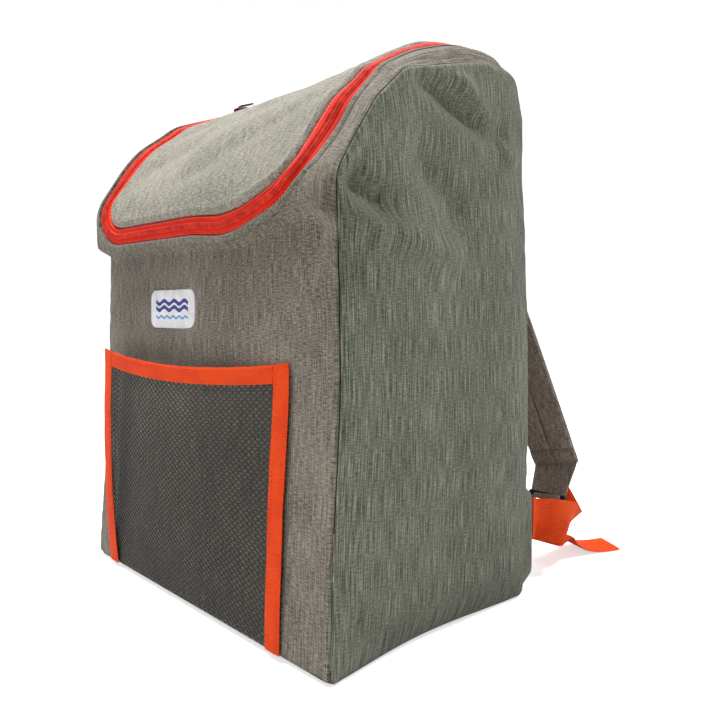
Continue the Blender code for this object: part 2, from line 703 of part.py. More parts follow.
def zip_slider(collection):
    """The slider on the left arm of the zip, behind the knee, with its pull laid to the back."""
    middle = TAPE_WIDTH + TAPE_PARTING / 2
    station = PROFILE.at_depth(SLIDER_PLACE)
    across = -(HALF_WIDTH - ZIP_INSET - middle)
    level = (band_lift(station, across - middle) + lid_lift(station, across + middle)) / 2
    lift = level - TAPE_SINK + 2 * CLEARANCE + COIL_HEIGHT
    spot, axes = skin_frame(station, across, lift)
    body = spot + axes[:, 2] * (CLEARANCE + SLIDER_HEIGHT / 2)
    place_box("zip_slider", (SLIDER_LENGTH, SLIDER_WIDTH, SLIDER_HEIGHT), body, axes,
              SLIDER_HEIGHT * 0.3, MAROON_METAL, collection)
    hinge = body + axes[:, 2] * (SLIDER_HEIGHT / 2 + 2 * CLEARANCE)
    lean = np.array([math.cos(PULL_LEAN), 0.0, math.sin(PULL_LEAN)])
    up = np.array([-math.sin(PULL_LEAN), 0.0, math.cos(PULL_LEAN)])
    pull_axes = axes @ np.stack([lean, np.array([0.0, 1.0, 0.0]), up], 1)
    centre = hinge + pull_axes[:, 0] * (PULL_LENGTH / 2) + pull_axes[:, 2] * (PULL_THICKNESS / 2)
    place_box("zip_pull", (PULL_LENGTH, PULL_WIDTH, PULL_THICKNESS), centre, pull_axes,
              PULL_THICKNESS * 0.3, MAROON_METAL, collection)


def pocket_left():
    """Place across of the pocket's left edge."""
    return -HALF_WIDTH + POCKET_LEFT_INSET


def pocket_right():
    """Place across of the pocket's right edge."""
    return HALF_WIDTH - POCKET_RIGHT_INSET


def pocket_height(share):
    """Height of the pocket's mouth at a share of the way from its left to its right edge."""
    return POCKET_TOP - POCKET_SAG * np.sin(math.pi * np.clip(share, 0, 1)) ** 0.8


def pocket_standoff(share, up):
    """How far the net stands off the front: flat on the right, gaping on the left."""
    gape = POCKET_GAPE * (1 - smooth_steps(0.0, 1.0, share)) * (1 - (1 - up) ** 2.1)
    bulge = POCKET_BULGE * np.sin(math.pi * np.clip(share, 0, 1)) * np.sin(math.pi / 2 * up) ** 0.8
    return NET_SEAT + NET_THICKNESS / 2 + gape + bulge


def pocket_point(share, up, extra):
    """A point of the pocket: share across, up from its foot, extra beyond the net's middle."""
    across = pocket_left() + (pocket_right() - pocket_left()) * share
    height = POCKET_FOOT + (pocket_height(share) - POCKET_FOOT) * up
    foot = PROFILE.at_height(POCKET_FOOT)
    station = foot + (height - POCKET_FOOT)
    return skin(station, across, pocket_standoff(share, np.clip(up, 0, 1)) + extra)


def pocket_net(collection):
    """The net: its face across the front and its left side turned back to the panel."""
    shares = np.concatenate([[0.0], np.linspace(0.035, 0.965, 10), [1.0]])
    ups = np.linspace(0.0, 1.0, 11)
    u, p = np.meshgrid(ups, shares, indexing="ij")
    face = pocket_point(p, u, 0.0)
    across = np.full(ups.shape, pocket_left() - 0.0015)
    height = POCKET_FOOT + (pocket_height(0.0) - POCKET_FOOT) * ups
    station = PROFILE.at_height(POCKET_FOOT) + height - POCKET_FOOT
    foot = skin(station, across, NET_SEAT + NET_THICKNESS / 2)
    half_way = 0.5 * (foot + face[:, 0]) + np.array([-0.0006, 0.0, 0.0])
    points = np.concatenate([foot[:, None], half_way[:, None], face], axis=1)
    return sheet("pocket_net", points, NET_THICKNESS, BLACK_NET, collection)


def pocket_bindings(collection):
    """The tapes round the net: one strip down each side and a folded one over the mouth."""
    width = pocket_right() - pocket_left()
    side = SIDE_BINDING_WIDTH / width
    seat = NET_THICKNESS / 2 + CLEARANCE + BINDING_THICKNESS / 2
    ups = np.linspace(0.0, 1.012, 12)
    for name, start, end in (("pocket_binding_left", -0.004, side), ("pocket_binding_right", 1 - side, 1.004)):
        u, p = np.meshgrid(ups, np.linspace(start, end, 3), indexing="ij")
        sheet(name, pocket_point(p, u, seat), BINDING_THICKNESS, ORANGE_TAPE, collection)
    gap = 2 * CLEARANCE / width
    shares = np.linspace(side + gap, 1 - side - gap, 12)
    drop = TOP_BINDING_WIDTH / (POCKET_TOP - POCKET_FOOT)
    over = (seat + CLEARANCE) / (POCKET_TOP - POCKET_FOOT)
    section = ((1 - drop, seat), (1 - drop * 0.5, seat), (1 + over * 0.35, seat), (1 + over, 0.0),
               (1 + over * 0.35, -seat), (1 - drop * 0.5, -seat), (1 - drop, -seat))
    rows = [pocket_point(shares, np.full(shares.shape, up), extra) for up, extra in section]
    sheet("pocket_binding_top", np.array(rows), BINDING_THICKNESS * 0.7, ORANGE_TAPE, collection)


def front_patch(collection):
    """The blank patch: a rounded plate on the upper front."""
    corners = []
    for centre_x, centre_z, first in ((1, 1, 0), (-1, 1, 90), (-1, -1, 180), (1, -1, 270)):
        for angle in np.radians(np.linspace(first, first + 90, 5)):
            corners.append((
                centre_x * (PATCH_WIDTH / 2 - PATCH_CORNER) + PATCH_CORNER * math.cos(angle),
                centre_z * (PATCH_HEIGHT / 2 - PATCH_CORNER) + PATCH_CORNER * math.sin(angle),
            ))
    corners = np.array(corners)
    across = PATCH_CENTRE_ACROSS + corners[:, 0]
    station = PROFILE.at_height(PATCH_CENTRE_HEIGHT) + corners[:, 1]
    count = len(corners)
    back = skin(station, across, CLEARANCE)
    front = skin(station, across, CLEARANCE + PATCH_THICKNESS)
    faces = [tuple(range(count)), tuple(range(2 * count - 1, count - 1, -1))]
    faces += [(i, (i + 1) % count, count + (i + 1) % count, count + i) for i in range(count)]
    return add_object("front_patch", np.concatenate([back, front]), faces, WHITE_PATCH, collection)


def strap_line(side):
    """Centre line of a strap, from its anchor on the back panel to the joint."""
    drop = STRAP_TOP - STRAP_JOINT
    route = [
        (side * across * HALF_WIDTH, BACK + BACK_PILLOW + behind * STRAP_BOW, STRAP_JOINT + height * drop)
        for _, across, behind, height in STRAP_ROUTE
    ]
    seat = BACK + BACK_PILLOW + STRAP_THICKNESS / 2 + CLEARANCE
    route[0] = (route[0][0], seat, route[0][2])
    return spline_through(route, 18)


def ribbon(line, widths, width_axes):
    """A grid of three columns over a centre line, width across each point's axis."""
    axes = np.asarray(width_axes, float)
    shares = np.array([-0.5, 0.0, 0.5])
    return line[:, None, :] + axes[:, None, :] * (widths * shares)[None, :, None]


def square_to(line, axis):
    """Unit axes at each point of a line, as near the given axis as is square to the line."""
    along = np.gradient(line, axis=0)
    along = along / np.linalg.norm(along, axis=1)[:, None]
    axis = np.broadcast_to(np.asarray(axis, float), line.shape)
    flat = axis - along * np.sum(axis * along, axis=1)[:, None]
    return flat / np.linalg.norm(flat, axis=1)[:, None]


def shoulder_strap(name, side, collection):
    """A padded strap with softly rounded edges, five columns wide."""
    line = strap_line(side)
    axes = square_to(line, (1.0, 0.0, 0.0))
    along = np.gradient(line, axis=0)
    along = along / np.linalg.norm(along, axis=1)[:, None]
    out = np.cross(axes, along)
    shares = np.array([-0.5, -0.42, -0.03, 0.03, 0.42, 0.5])
    thick = STRAP_THICKNESS / 2 * np.array([0.35, 0.92, 0.82, 0.82, 0.92, 0.35])
    middle = line[:, None, :] + axes[:, None, :] * (STRAP_WIDTH * shares)[None, :, None]
    return wall_between(
        name,
        middle + out[:, None, :] * thick[None, :, None],
        middle - out[:, None, :] * thick[None, :, None],
        STRAP_FABRIC, collection,
    )


def tab_frame(side):
    """Where the strap ends: the spot, and the axes down the tab, across it and out."""
    down = np.array([0.0, -math.sin(TAB_LEAN), -math.cos(TAB_LEAN)])
    across = np.array([1.0, 0.0, 0.0])
    return strap_line(side)[-1], down, across, np.cross(across, down)


def strap_tab(name, side, collection):
    """The flat tab from the padded strap's end, narrowing down to the buckle."""
    start, down, across, _ = tab_frame(side)
    lengths = np.linspace(STRAP_THICKNESS / 3, TAB_LENGTH, 5)
    shares = np.linspace(0.0, 1.0, 5)[:, None]
    strap_axis = square_to(strap_line(side), across)[-1]
    axes = strap_axis * (1 - shares) * TAB_WIDTH + across * shares * TAB_END_WIDTH
    points = ribbon(start + down * lengths[:, None], 1.0, axes)
    return sheet(name, points, TAB_THICKNESS, STRAP_FABRIC, collection)


def strap_buckle(name, side, collection):
    """A plain adjuster: a flat frame with one bar across, as a filled curve with two holes."""
    start, down, across, out = tab_frame(side)
    centre = start + down * (TAB_LENGTH + CLEARANCE + BUCKLE_LENGTH / 2)
    curve = bpy.data.curves.new(name, "CURVE")
    curve.dimensions = "2D"
    curve.fill_mode = "BOTH"
    curve.extrude = BUCKLE_THICKNESS / 2
    half, long = BUCKLE_WIDTH / 2, BUCKLE_LENGTH / 2
    hole = (BUCKLE_LENGTH - 3 * BUCKLE_BAR) / 2
    outlines = [(-half, half, -long, long)]
    for low in (-long + BUCKLE_BAR, BUCKLE_BAR / 2):
        outlines.append((-half + BUCKLE_BAR, half - BUCKLE_BAR, low, low + hole))
    for left, right, low, high in outlines:
        spline = curve.splines.new("POLY")
        spline.points.add(3)
        for point, place in zip(spline.points, ((left, low), (right, low), (right, high), (left, high))):
            point.co = (*place, 0.0, 1.0)
        spline.use_cyclic_u = True
    drawn = bpy.data.objects.new(name + "_outline", curve)
    collection.objects.link(drawn)
    graph = bpy.context.evaluated_depsgraph_get()
    mesh = bpy.data.meshes.new_from_object(drawn.evaluated_get(graph))
    mesh.name = name
    working = bmesh.new()
    working.from_mesh(mesh)
    bmesh.ops.remove_doubles(working, verts=working.verts, dist=1e-6)
    for vertex in working.verts:
        x, y, z = vertex.co
        vertex.co = centre + across * x - down * y + out * z
    working.normal_update()
    bmesh.ops.recalc_face_normals(working, faces=working.faces)
    working.to_mesh(mesh)
    working.free()
    bpy.data.objects.remove(drawn, do_unlink=True)
    mesh.materials.clear()
    mesh.materials.append(principled(BLACK_PLASTIC))
    piece = bpy.data.objects.new(name, mesh)
    collection.objects.link(piece)
    return piece


def webbing_loop(name, side, collection):
    """The webbing from the wing round to the buckle, standing on its edge."""
    tip = WING_REACH + CLEARANCE
    start, down, across, out = tab_frame(side)
    bar = start + down * (TAB_LENGTH + CLEARANCE + BUCKLE_LENGTH / 2)
    bar = bar + out * (BUCKLE_THICKNESS / 2 + WEBBING_THICKNESS / 4 + CLEARANCE)
    edges = []
    for column, end in ((1, -side * WEBBING_WIDTH / 2), (4, side * WEBBING_WIDTH / 2)):
        route = [
            (side * (HALF_WIDTH - row[column] * LOOP_INSET),
             BACK + tip + row[column + 1] * (LOOP_REACH - tip), row[column + 2] * LOOP_TOP)
            for row in LOOP_SECTIONS
        ]
        edges.append(spline_through([*route, bar + across * end], 26))
    low, high = edges
    points = np.stack([low, low * 0.5 + high * 0.5, high], axis=1)
    return sheet(name, points, WEBBING_THICKNESS, ORANGE_TAPE, collection)


def webbing_tail(name, side, collection):
    """The loose end of the webbing, from the buckle down to the ground and along it."""
    start, down, _, _ = tab_frame(side)
    first = start + down * (TAB_LENGTH + BUCKLE_LENGTH + 3 * CLEARANCE)
    rows = spline_through(
        [(HALF_WIDTH - side * first[0], first[1] - BACK, first[2], 0.0)]
        + [(inset * LOOP_INSET, behind * TAIL_REACH, height * LOOP_TOP, math.radians(turn))
           for _, inset, behind, height, turn in TAIL_SECTIONS], 20,
    )
    line = np.stack([side * (HALF_WIDTH - rows[:, 0]), BACK + rows[:, 1], rows[:, 2]], -1)
    turned = np.stack([-side * np.cos(rows[:, 3]), np.sin(rows[:, 3]), np.zeros(len(rows))], -1)
    points = ribbon(line, WEBBING_WIDTH, turned)
    points[..., 2] = np.maximum(points[..., 2], WEBBING_THICKNESS / 2 + CLEARANCE)
    return sheet(name, points, WEBBING_THICKNESS, ORANGE_TAPE, collection)


def anchor_wing(name, side, collection):
    """The fabric wing at the foot of the back edge that holds the webbing."""
    outer = side * (HALF_WIDTH - WING_INSET)
    inner = side * (HALF_WIDTH - WING_INSET - WING_THICKNESS)
    root = BACK + BACK_PILLOW * 0.45
    tip = BACK + WING_REACH
    slant = (WING_TOP - WING_BASE) * 0.17
    outline = ((root, WING_BASE), (tip - 0.003, WING_BASE + slant * 0.5), (tip, WING_BASE + slant),
               (tip, WING_TOP - slant), (tip - 0.003, WING_TOP - slant * 0.5), (root, WING_TOP))
    vertices = settle([(x, y, z) for x in (outer, inner) for y, z in outline])
    count = len(outline)
    faces = [tuple(range(count)), tuple(range(2 * count - 1, count - 1, -1))]
    faces += [(i, (i + 1) % count, count + (i + 1) % count, count + i) for i in range(count)]
    return add_object(name, vertices, faces, FABRIC, collection)


def build():
    """Makes every piece of the backpack."""
    clear_scene()
    parts = new_collection("cooler_backpack")
    cutters = new_collection("cutters")
    cutters.hide_render = True
    front_panel(parts, cutters)
    lid_panel(parts)
    back_panel(parts)
    base_panel(parts)
    zip_tapes(parts)
    zip_coil(parts)
    zip_slider(parts)
    pocket_net(parts)
    pocket_bindings(parts)
    front_patch(parts)
    for word, side in (("left", -1), ("right", 1)):
        side_panel(f"side_panel_{word}", side, parts)
        shoulder_strap(f"shoulder_strap_{word}", side, parts)
        strap_tab(f"strap_tab_{word}", side, parts)
        strap_buckle(f"strap_buckle_{word}", side, parts)
        webbing_loop(f"webbing_loop_{word}", side, parts)
        webbing_tail(f"webbing_tail_{word}", side, parts)
        anchor_wing(f"anchor_wing_{word}", side, parts)


build()
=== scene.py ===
"""Looks of the cooler backpack: cloth panels, zip, net pocket, patch, straps and webbing.

Metres, +Z up, and the front faces -Y. A point of the bag's skin is found by its station (the
length run along the side profile, up the front, back over the top and down the back), its
place across, and how far it stands off that profile.
"""

import logging
import math
from dataclasses import dataclass, field
from enum import Enum

import bpy
import numpy as np
from mathutils import Matrix, Vector


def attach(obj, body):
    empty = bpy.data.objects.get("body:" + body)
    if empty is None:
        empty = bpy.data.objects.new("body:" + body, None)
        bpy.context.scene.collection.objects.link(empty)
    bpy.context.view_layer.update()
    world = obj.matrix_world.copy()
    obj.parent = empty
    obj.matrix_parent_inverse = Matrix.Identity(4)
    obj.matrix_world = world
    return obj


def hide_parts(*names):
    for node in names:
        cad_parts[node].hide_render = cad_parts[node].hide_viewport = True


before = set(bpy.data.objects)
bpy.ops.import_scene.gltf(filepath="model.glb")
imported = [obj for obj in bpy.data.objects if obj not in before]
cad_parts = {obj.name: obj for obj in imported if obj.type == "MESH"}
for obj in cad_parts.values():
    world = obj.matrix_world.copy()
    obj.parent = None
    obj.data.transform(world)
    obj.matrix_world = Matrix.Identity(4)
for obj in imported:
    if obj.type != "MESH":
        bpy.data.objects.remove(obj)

logging.basicConfig(level=logging.INFO, format="%(message)s")
log = logging.getLogger("cooler_backpack")

Array = np.ndarray


class Side(Enum):
    """Left and right for someone who looks at the front, as the sign of X."""

    LEFT = -1
    RIGHT = 1


# Corners of the side profile: shares of the depth, the front's height and the rise above it
SIDE_PROFILE = (
    # name, depth, front, rise, radius (m)
    ("base front", 0.000, 0.0, 0.000, 0.006),
    ("kink", 0.000, 1.0, 0.000, 0.030),
    ("slope", 0.176, 1.0, 0.520, 0.060),
    ("knee", 0.318, 1.0, 0.775, 0.020),
    ("crest", 0.720, 1.0, 0.990, 0.120),
    ("back shoulder", 0.945, 1.0, 0.985, 0.014),
    ("back top", 1.000, 1.0, 0.660, 0.040),
    ("base back", 1.000, 0.0, 0.000, 0.006),
)

# How far the skin stands off the profile, as shares of the lid's lift, by share of the depth
SKIN_LIFT = (
    # name, place, band left, band right, lid left, lid middle, lid right
    ("lip", 0.000, 0.98, 0.40, 0.95, 0.75, 0.62),
    ("slope", 0.120, 1.14, -0.12, 0.74, 0.70, 0.44),
    ("knee", 0.300, 0.80, 0.16, 0.40, 0.50, 0.40),
    ("crest", 0.460, 0.94, 0.68, 0.84, 0.76, 1.08),
    ("top", 0.620, 1.02, 0.84, 1.08, 1.08, 1.50),
    ("far top", 0.800, 0.95, 0.84, 0.98, 1.08, 1.44),
    ("back", 0.900, 0.72, 0.70, 0.72, 0.78, 0.94),
    ("back seam", 0.955, 0.00, 0.00, 0.00, 0.00, 0.00),
)

# Folds of a side panel, front to back: both ends as shares of the depth and of the height
SIDE_FOLDS = (
    # name, from depth, from height, to depth, to height, width (m), rise (m)
    ("dent under the kink", -0.02, 0.752, 0.17, 0.712, 0.011, -0.0108),
    ("ridge under that dent", 0.00, 0.706, 0.49, 0.632, 0.011, 0.0066),
    ("second valley", 0.375, 0.785, 0.547, 0.715, 0.014, -0.0066),
    ("valley under the knee", 0.40, 0.932, 0.79, 0.862, 0.010, -0.0086),
    ("ridge behind that valley", 0.58, 0.945, 0.86, 0.830, 0.009, 0.0056),
    ("swell before the hollow", 0.28, 0.850, 0.40, 0.700, 0.014, 0.0024),
    ("low swell", 0.46, 0.560, 0.60, 0.300, 0.022, 0.0016),
    ("crease at the kink", 0.00, 0.715, 0.10, 0.700, 0.004, -0.0016),
    ("notch above the kink", 0.02, 0.775, 0.12, 0.742, 0.004, -0.0015),
)

# Furrows of the lid: ends as shares of its half width and of its length
LID_FURROWS = (
    # name, from across, from along, to across, to along, width (m), rise (m)
    ("long furrow", -0.55, 0.26, 0.66, 0.62, 0.013, -0.0028),
    ("low furrow", -0.20, 0.14, 0.72, 0.40, 0.010, -0.0019),
    ("high furrow", -0.60, 0.44, 0.35, 0.68, 0.012, -0.0022),
    ("fine furrow", -0.10, 0.34, 0.60, 0.52, 0.005, -0.0007),
)

# Creases of the front: ends as shares of its half width and of its height
FRONT_CREASES = (
    # name, from across, from height, to across, to height, width (m), rise (m)
    ("diagonal ridge", 0.53, 0.665, 0.89, 0.765, 0.007, 0.0016),
    ("dent over that ridge", 0.55, 0.715, 0.86, 0.805, 0.007, -0.0010),
    ("slack beside the seam", 0.86, 0.820, 0.97, 0.880, 0.005, -0.0012),
    ("sag over the pocket", -0.60, 0.640, 0.20, 0.655, 0.012, 0.0010),
    ("press of the zip", -0.85, 0.885, 0.60, 0.875, 0.010, -0.0012),
)

# Centre line of a shoulder strap: shares of the half width, the bow and the strap's drop
STRAP_ROUTE = (
    # name, across, behind, height
    ("anchor", 0.400, 0.060, 1.000),
    ("shoulder", 0.420, 0.095, 0.925),
    ("upper", 0.490, 0.310, 0.790),
    ("middle", 0.590, 0.510, 0.590),
    ("chest", 0.690, 0.675, 0.370),
    ("lower", 0.765, 0.855, 0.165),
    ("joint", 0.823, 1.000, 0.000),
)

# Edges of the webbing loop: shares of its inset, of the way out from the wing, and of its height
LOOP_SECTIONS = (
    # name, low edge in, behind, height, high edge in, behind, height
    ("anchor", 0.13, 0.013, 0.530, 0.11, 0.013, 0.985),
    ("neck", 0.18, 0.096, 0.520, 0.13, 0.084, 0.970),
    ("valley", 0.42, 0.231, 0.450, 0.26, 0.206, 0.920),
    ("swell", 0.20, 0.426, 0.395, 0.15, 0.426, 0.890),
    ("face", 0.08, 0.597, 0.375, 0.05, 0.621, 0.850),
    ("turn", 0.34, 0.756, 0.420, 0.06, 0.829, 0.785),
    ("curl", 0.84, 0.988, 0.500, 0.18, 1.085, 0.640),
    ("return", 1.12, 1.000, 0.640, 0.60, 1.085, 0.940),
)

# Centre line of the loose tail: shares of the inset, the reach and the height, and its turn
TAIL_SECTIONS = (
    # name, in, behind, height, turn (degrees)
    ("dip", 0.71, 0.430, 0.285, 0),
    ("run", 0.75, 0.515, 0.275, 3),
    ("fall", 0.80, 0.623, 0.280, 12),
    ("drop", 0.80, 0.701, 0.157, 20),
    ("landing", 0.72, 0.790, 0.060, 27),
    ("floor", 0.58, 0.890, 0.018, 30),
    ("cut end", 0.40, 1.000, 0.018, 31),
)


def smooth_steps(low: float, high: float, values: Array) -> Array:
    """0 up to low, 1 from high, and an S between them."""
    share = np.clip((np.asarray(values, float) - low) / (high - low), 0.0, 1.0)
    return share * share * (3 - 2 * share)


def cloth_noise(first: Array, second: Array, cell: float, seed: int) -> Array:
    """Soft unevenness: random heights at the corners of square cells, blended by S curves.

    Args:
        first: one coordinate in metres.
        second: the other coordinate in metres.
        cell: width of a cell in metres.
        seed: seed of the random heights.

    Returns:
        Heights from -1 to 1, in the shape of the coordinates.
    """
    knots = np.random.default_rng(seed).uniform(-1, 1, (64, 64))
    u, v = np.broadcast_arrays(first / cell + 17.3, second / cell + 9.7)
    i, j = np.floor(u).astype(int), np.floor(v).astype(int)
    a, b = smooth_steps(0, 1, u - i), smooth_steps(0, 1, v - j)
    low = knots[i % 64, j % 64] * (1 - a) + knots[(i + 1) % 64, j % 64] * a
    high = knots[i % 64, (j + 1) % 64] * (1 - a) + knots[(i + 1) % 64, (j + 1) % 64] * a
    return low * (1 - b) + high * b


def fold_relief(first: Array, second: Array, folds: tuple, first_size: float, second_size: float) -> Array:
    """Sum of soft bars: each is its rise times exp(-(distance to its line / width) squared).

    Args:
        first: one coordinate in metres.
        second: the other coordinate in metres.
        folds: rows of name, two ends as shares, width and rise.
        first_size: length that the first shares refer to.
        second_size: length that the second shares refer to.

    Returns:
        Heights in metres.
    """
    relief = np.zeros(np.broadcast(first, second).shape)
    for _, from_first, from_second, to_first, to_second, width, rise in folds:
        start = np.array([from_first * first_size, from_second * second_size])
        along = np.array([to_first * first_size, to_second * second_size]) - start
        share = ((first - start[0]) * along[0] + (second - start[1]) * along[1]) / (along @ along)
        share = np.clip(share, 0.0, 1.0)
        away = np.hypot(first - start[0] - share * along[0], second - start[1] - share * along[1])
        relief = relief + rise * np.exp(-((away / width) ** 2))
    return relief


def spline_through(points: Array, count: int) -> Array:
    """Points spaced evenly along a Catmull-Rom curve through the rows of points."""
    points = np.asarray(points, float)
    padded = np.vstack([2 * points[0] - points[1], points, 2 * points[-1] - points[-2]])
    t = np.linspace(0.0, 1.0, 24, endpoint=False)[:, None]
    spans = [
        0.5 * (2 * b + (c - a) * t + (2 * a - 5 * b + 4 * c - d) * t**2 + (3 * b - 3 * c + d - a) * t**3)
        for a, b, c, d in zip(padded, padded[1:], padded[2:], padded[3:])
    ]
    return resampled(np.vstack([*spans, points[-1:]]), count)


def resampled(line: Array, count: int) -> Array:
    """The rows of a line moved to even spacing along it."""
    run = np.concatenate([[0.0], np.cumsum(np.linalg.norm(np.diff(line, axis=0), axis=1))])
    places = np.linspace(0.0, run[-1], count)
    return np.stack([np.interp(places, run, line[:, k]) for k in range(line.shape[1])], axis=1)


def unit(vectors: Array) -> Array:
    """Vectors brought to length 1 along the last axis."""
    return vectors / np.maximum(np.linalg.norm(vectors, axis=-1, keepdims=True), 1e-12)


def grid_normals(points: Array) -> Array:
    """Unit normals of a grid of points: the cross product of its two gradients."""
    return unit(np.cross(np.gradient(points, axis=0), np.gradient(points, axis=1)))


def edge_drop(inset: Array, radius: float) -> Array:
    """Drop of a 45 degree rounded seam, a circle's arc, at a distance from the seam."""
    reach = np.clip(math.sqrt(0.5) * radius - inset, 0.0, None)
    return radius - np.sqrt(radius**2 - reach**2)


def ringed(values: Array) -> Array:
    """A grid with its border repeated outside it, as the start of a turned-in hem."""
    return np.pad(values, [(1, 1), (1, 1)] + [(0, 0)] * (values.ndim - 2), mode="edge")


def ring_mask(shape: tuple[int, int]) -> Array:
    """1 on the border of a grid and 0 inside it."""
    mask = np.ones(shape)
    mask[1:-1, 1:-1] = 0.0
    return mask


class Profile:
    """The side seam as a closed line of straights and fillets, run clockwise seen from +X."""

    def __init__(self, depth: float, front_height: float, rise: float, steps: int = 24) -> None:
        """Works out the fillets.

        Args:
            depth: depth of the bag.
            front_height: height of the front up to its kink.
            rise: rise from the kink to the top.
            steps: straight pieces in a fillet.
        """
        corners = np.array([
            (d * depth - depth / 2, f * front_height + r * rise) for _, d, f, r, _ in SIDE_PROFILE
        ])
        turns = np.linspace(0.0, 1.0, steps + 1)
        samples = []
        count = len(corners)
        for i in [*range(count), 0]:
            before, here, after = corners[i - 1], corners[i], corners[(i + 1) % count]
            into, out = unit(here - before), unit(after - here)
            start = math.atan2(into[1], into[0])
            turn = (math.atan2(out[1], out[0]) - start + math.pi) % (2 * math.pi) - math.pi
            half_turn = math.tan(abs(turn) / 2)
            room = 0.45 * min(np.linalg.norm(here - before), np.linalg.norm(after - here))
            radius = min(SIDE_PROFILE[i][4], room / half_turn)
            centre = here - into * radius * half_turn + radius * np.array([into[1], -into[0]])
            heading = start + turn * turns
            spot = centre + radius * np.stack([-np.sin(heading), np.cos(heading)], -1)
            samples.append(np.column_stack([spot, heading]))
        rows = np.vstack(samples)
        self.depth, self.steps = depth, steps
        self.places, self.headings = rows[:, :2], np.unwrap(rows[:, 2])
        self.run = np.concatenate([[0.0], np.cumsum(np.linalg.norm(np.diff(self.places, axis=0), axis=1))])
        per, middle = steps + 1, steps // 2
        names = [row[0] for row in SIDE_PROFILE]
        self.base_front = self.run[middle]
        self.kink = self.run[per + middle]
        self.back_seam = self.run[names.index("back shoulder") * per + middle]
        self.base_back = self.run[names.index("base back") * per + middle]
        self.base_end = self.run[count * per + middle]

    def at(self, stations: Array) -> tuple[Array, Array]:
        """Places (y, z) and outward normals at stations."""
        stations = np.asarray(stations, float)
        y = np.interp(stations, self.run, self.places[:, 0])
        z = np.interp(stations, self.run, self.places[:, 1])
        heading = np.interp(stations, self.run, self.headings)
        return np.stack([y, z], -1), np.stack([-np.sin(heading), np.cos(heading)], -1)

    def spaced(self, start: float, end: float, count: int) -> Array:
        """Stations from start to end, closer together where the profile turns."""
        fine = np.linspace(start, end, 800)
        turned = np.abs(np.interp(fine, self.run, self.headings) - self.headings[0])
        turned = np.concatenate([[0.0], np.cumsum(np.abs(np.diff(turned)))])
        measure = fine - fine[0] + turned * 0.045
        return np.interp(np.linspace(0.0, measure[-1], count), measure, fine)

    def at_height(self, height: float) -> float:
        """Station of a height on the upright front."""
        upright = slice(self.steps // 2, self.steps + 2)
        return float(np.interp(height, self.places[upright, 1], self.run[upright]))

    def at_depth(self, share: float) -> float:
        """Station over the slope and top at a share of the depth."""
        top = slice(self.steps + 1, 6 * (self.steps + 1))
        return float(np.interp((share - 0.5) * self.depth, self.places[top, 0], self.run[top]))


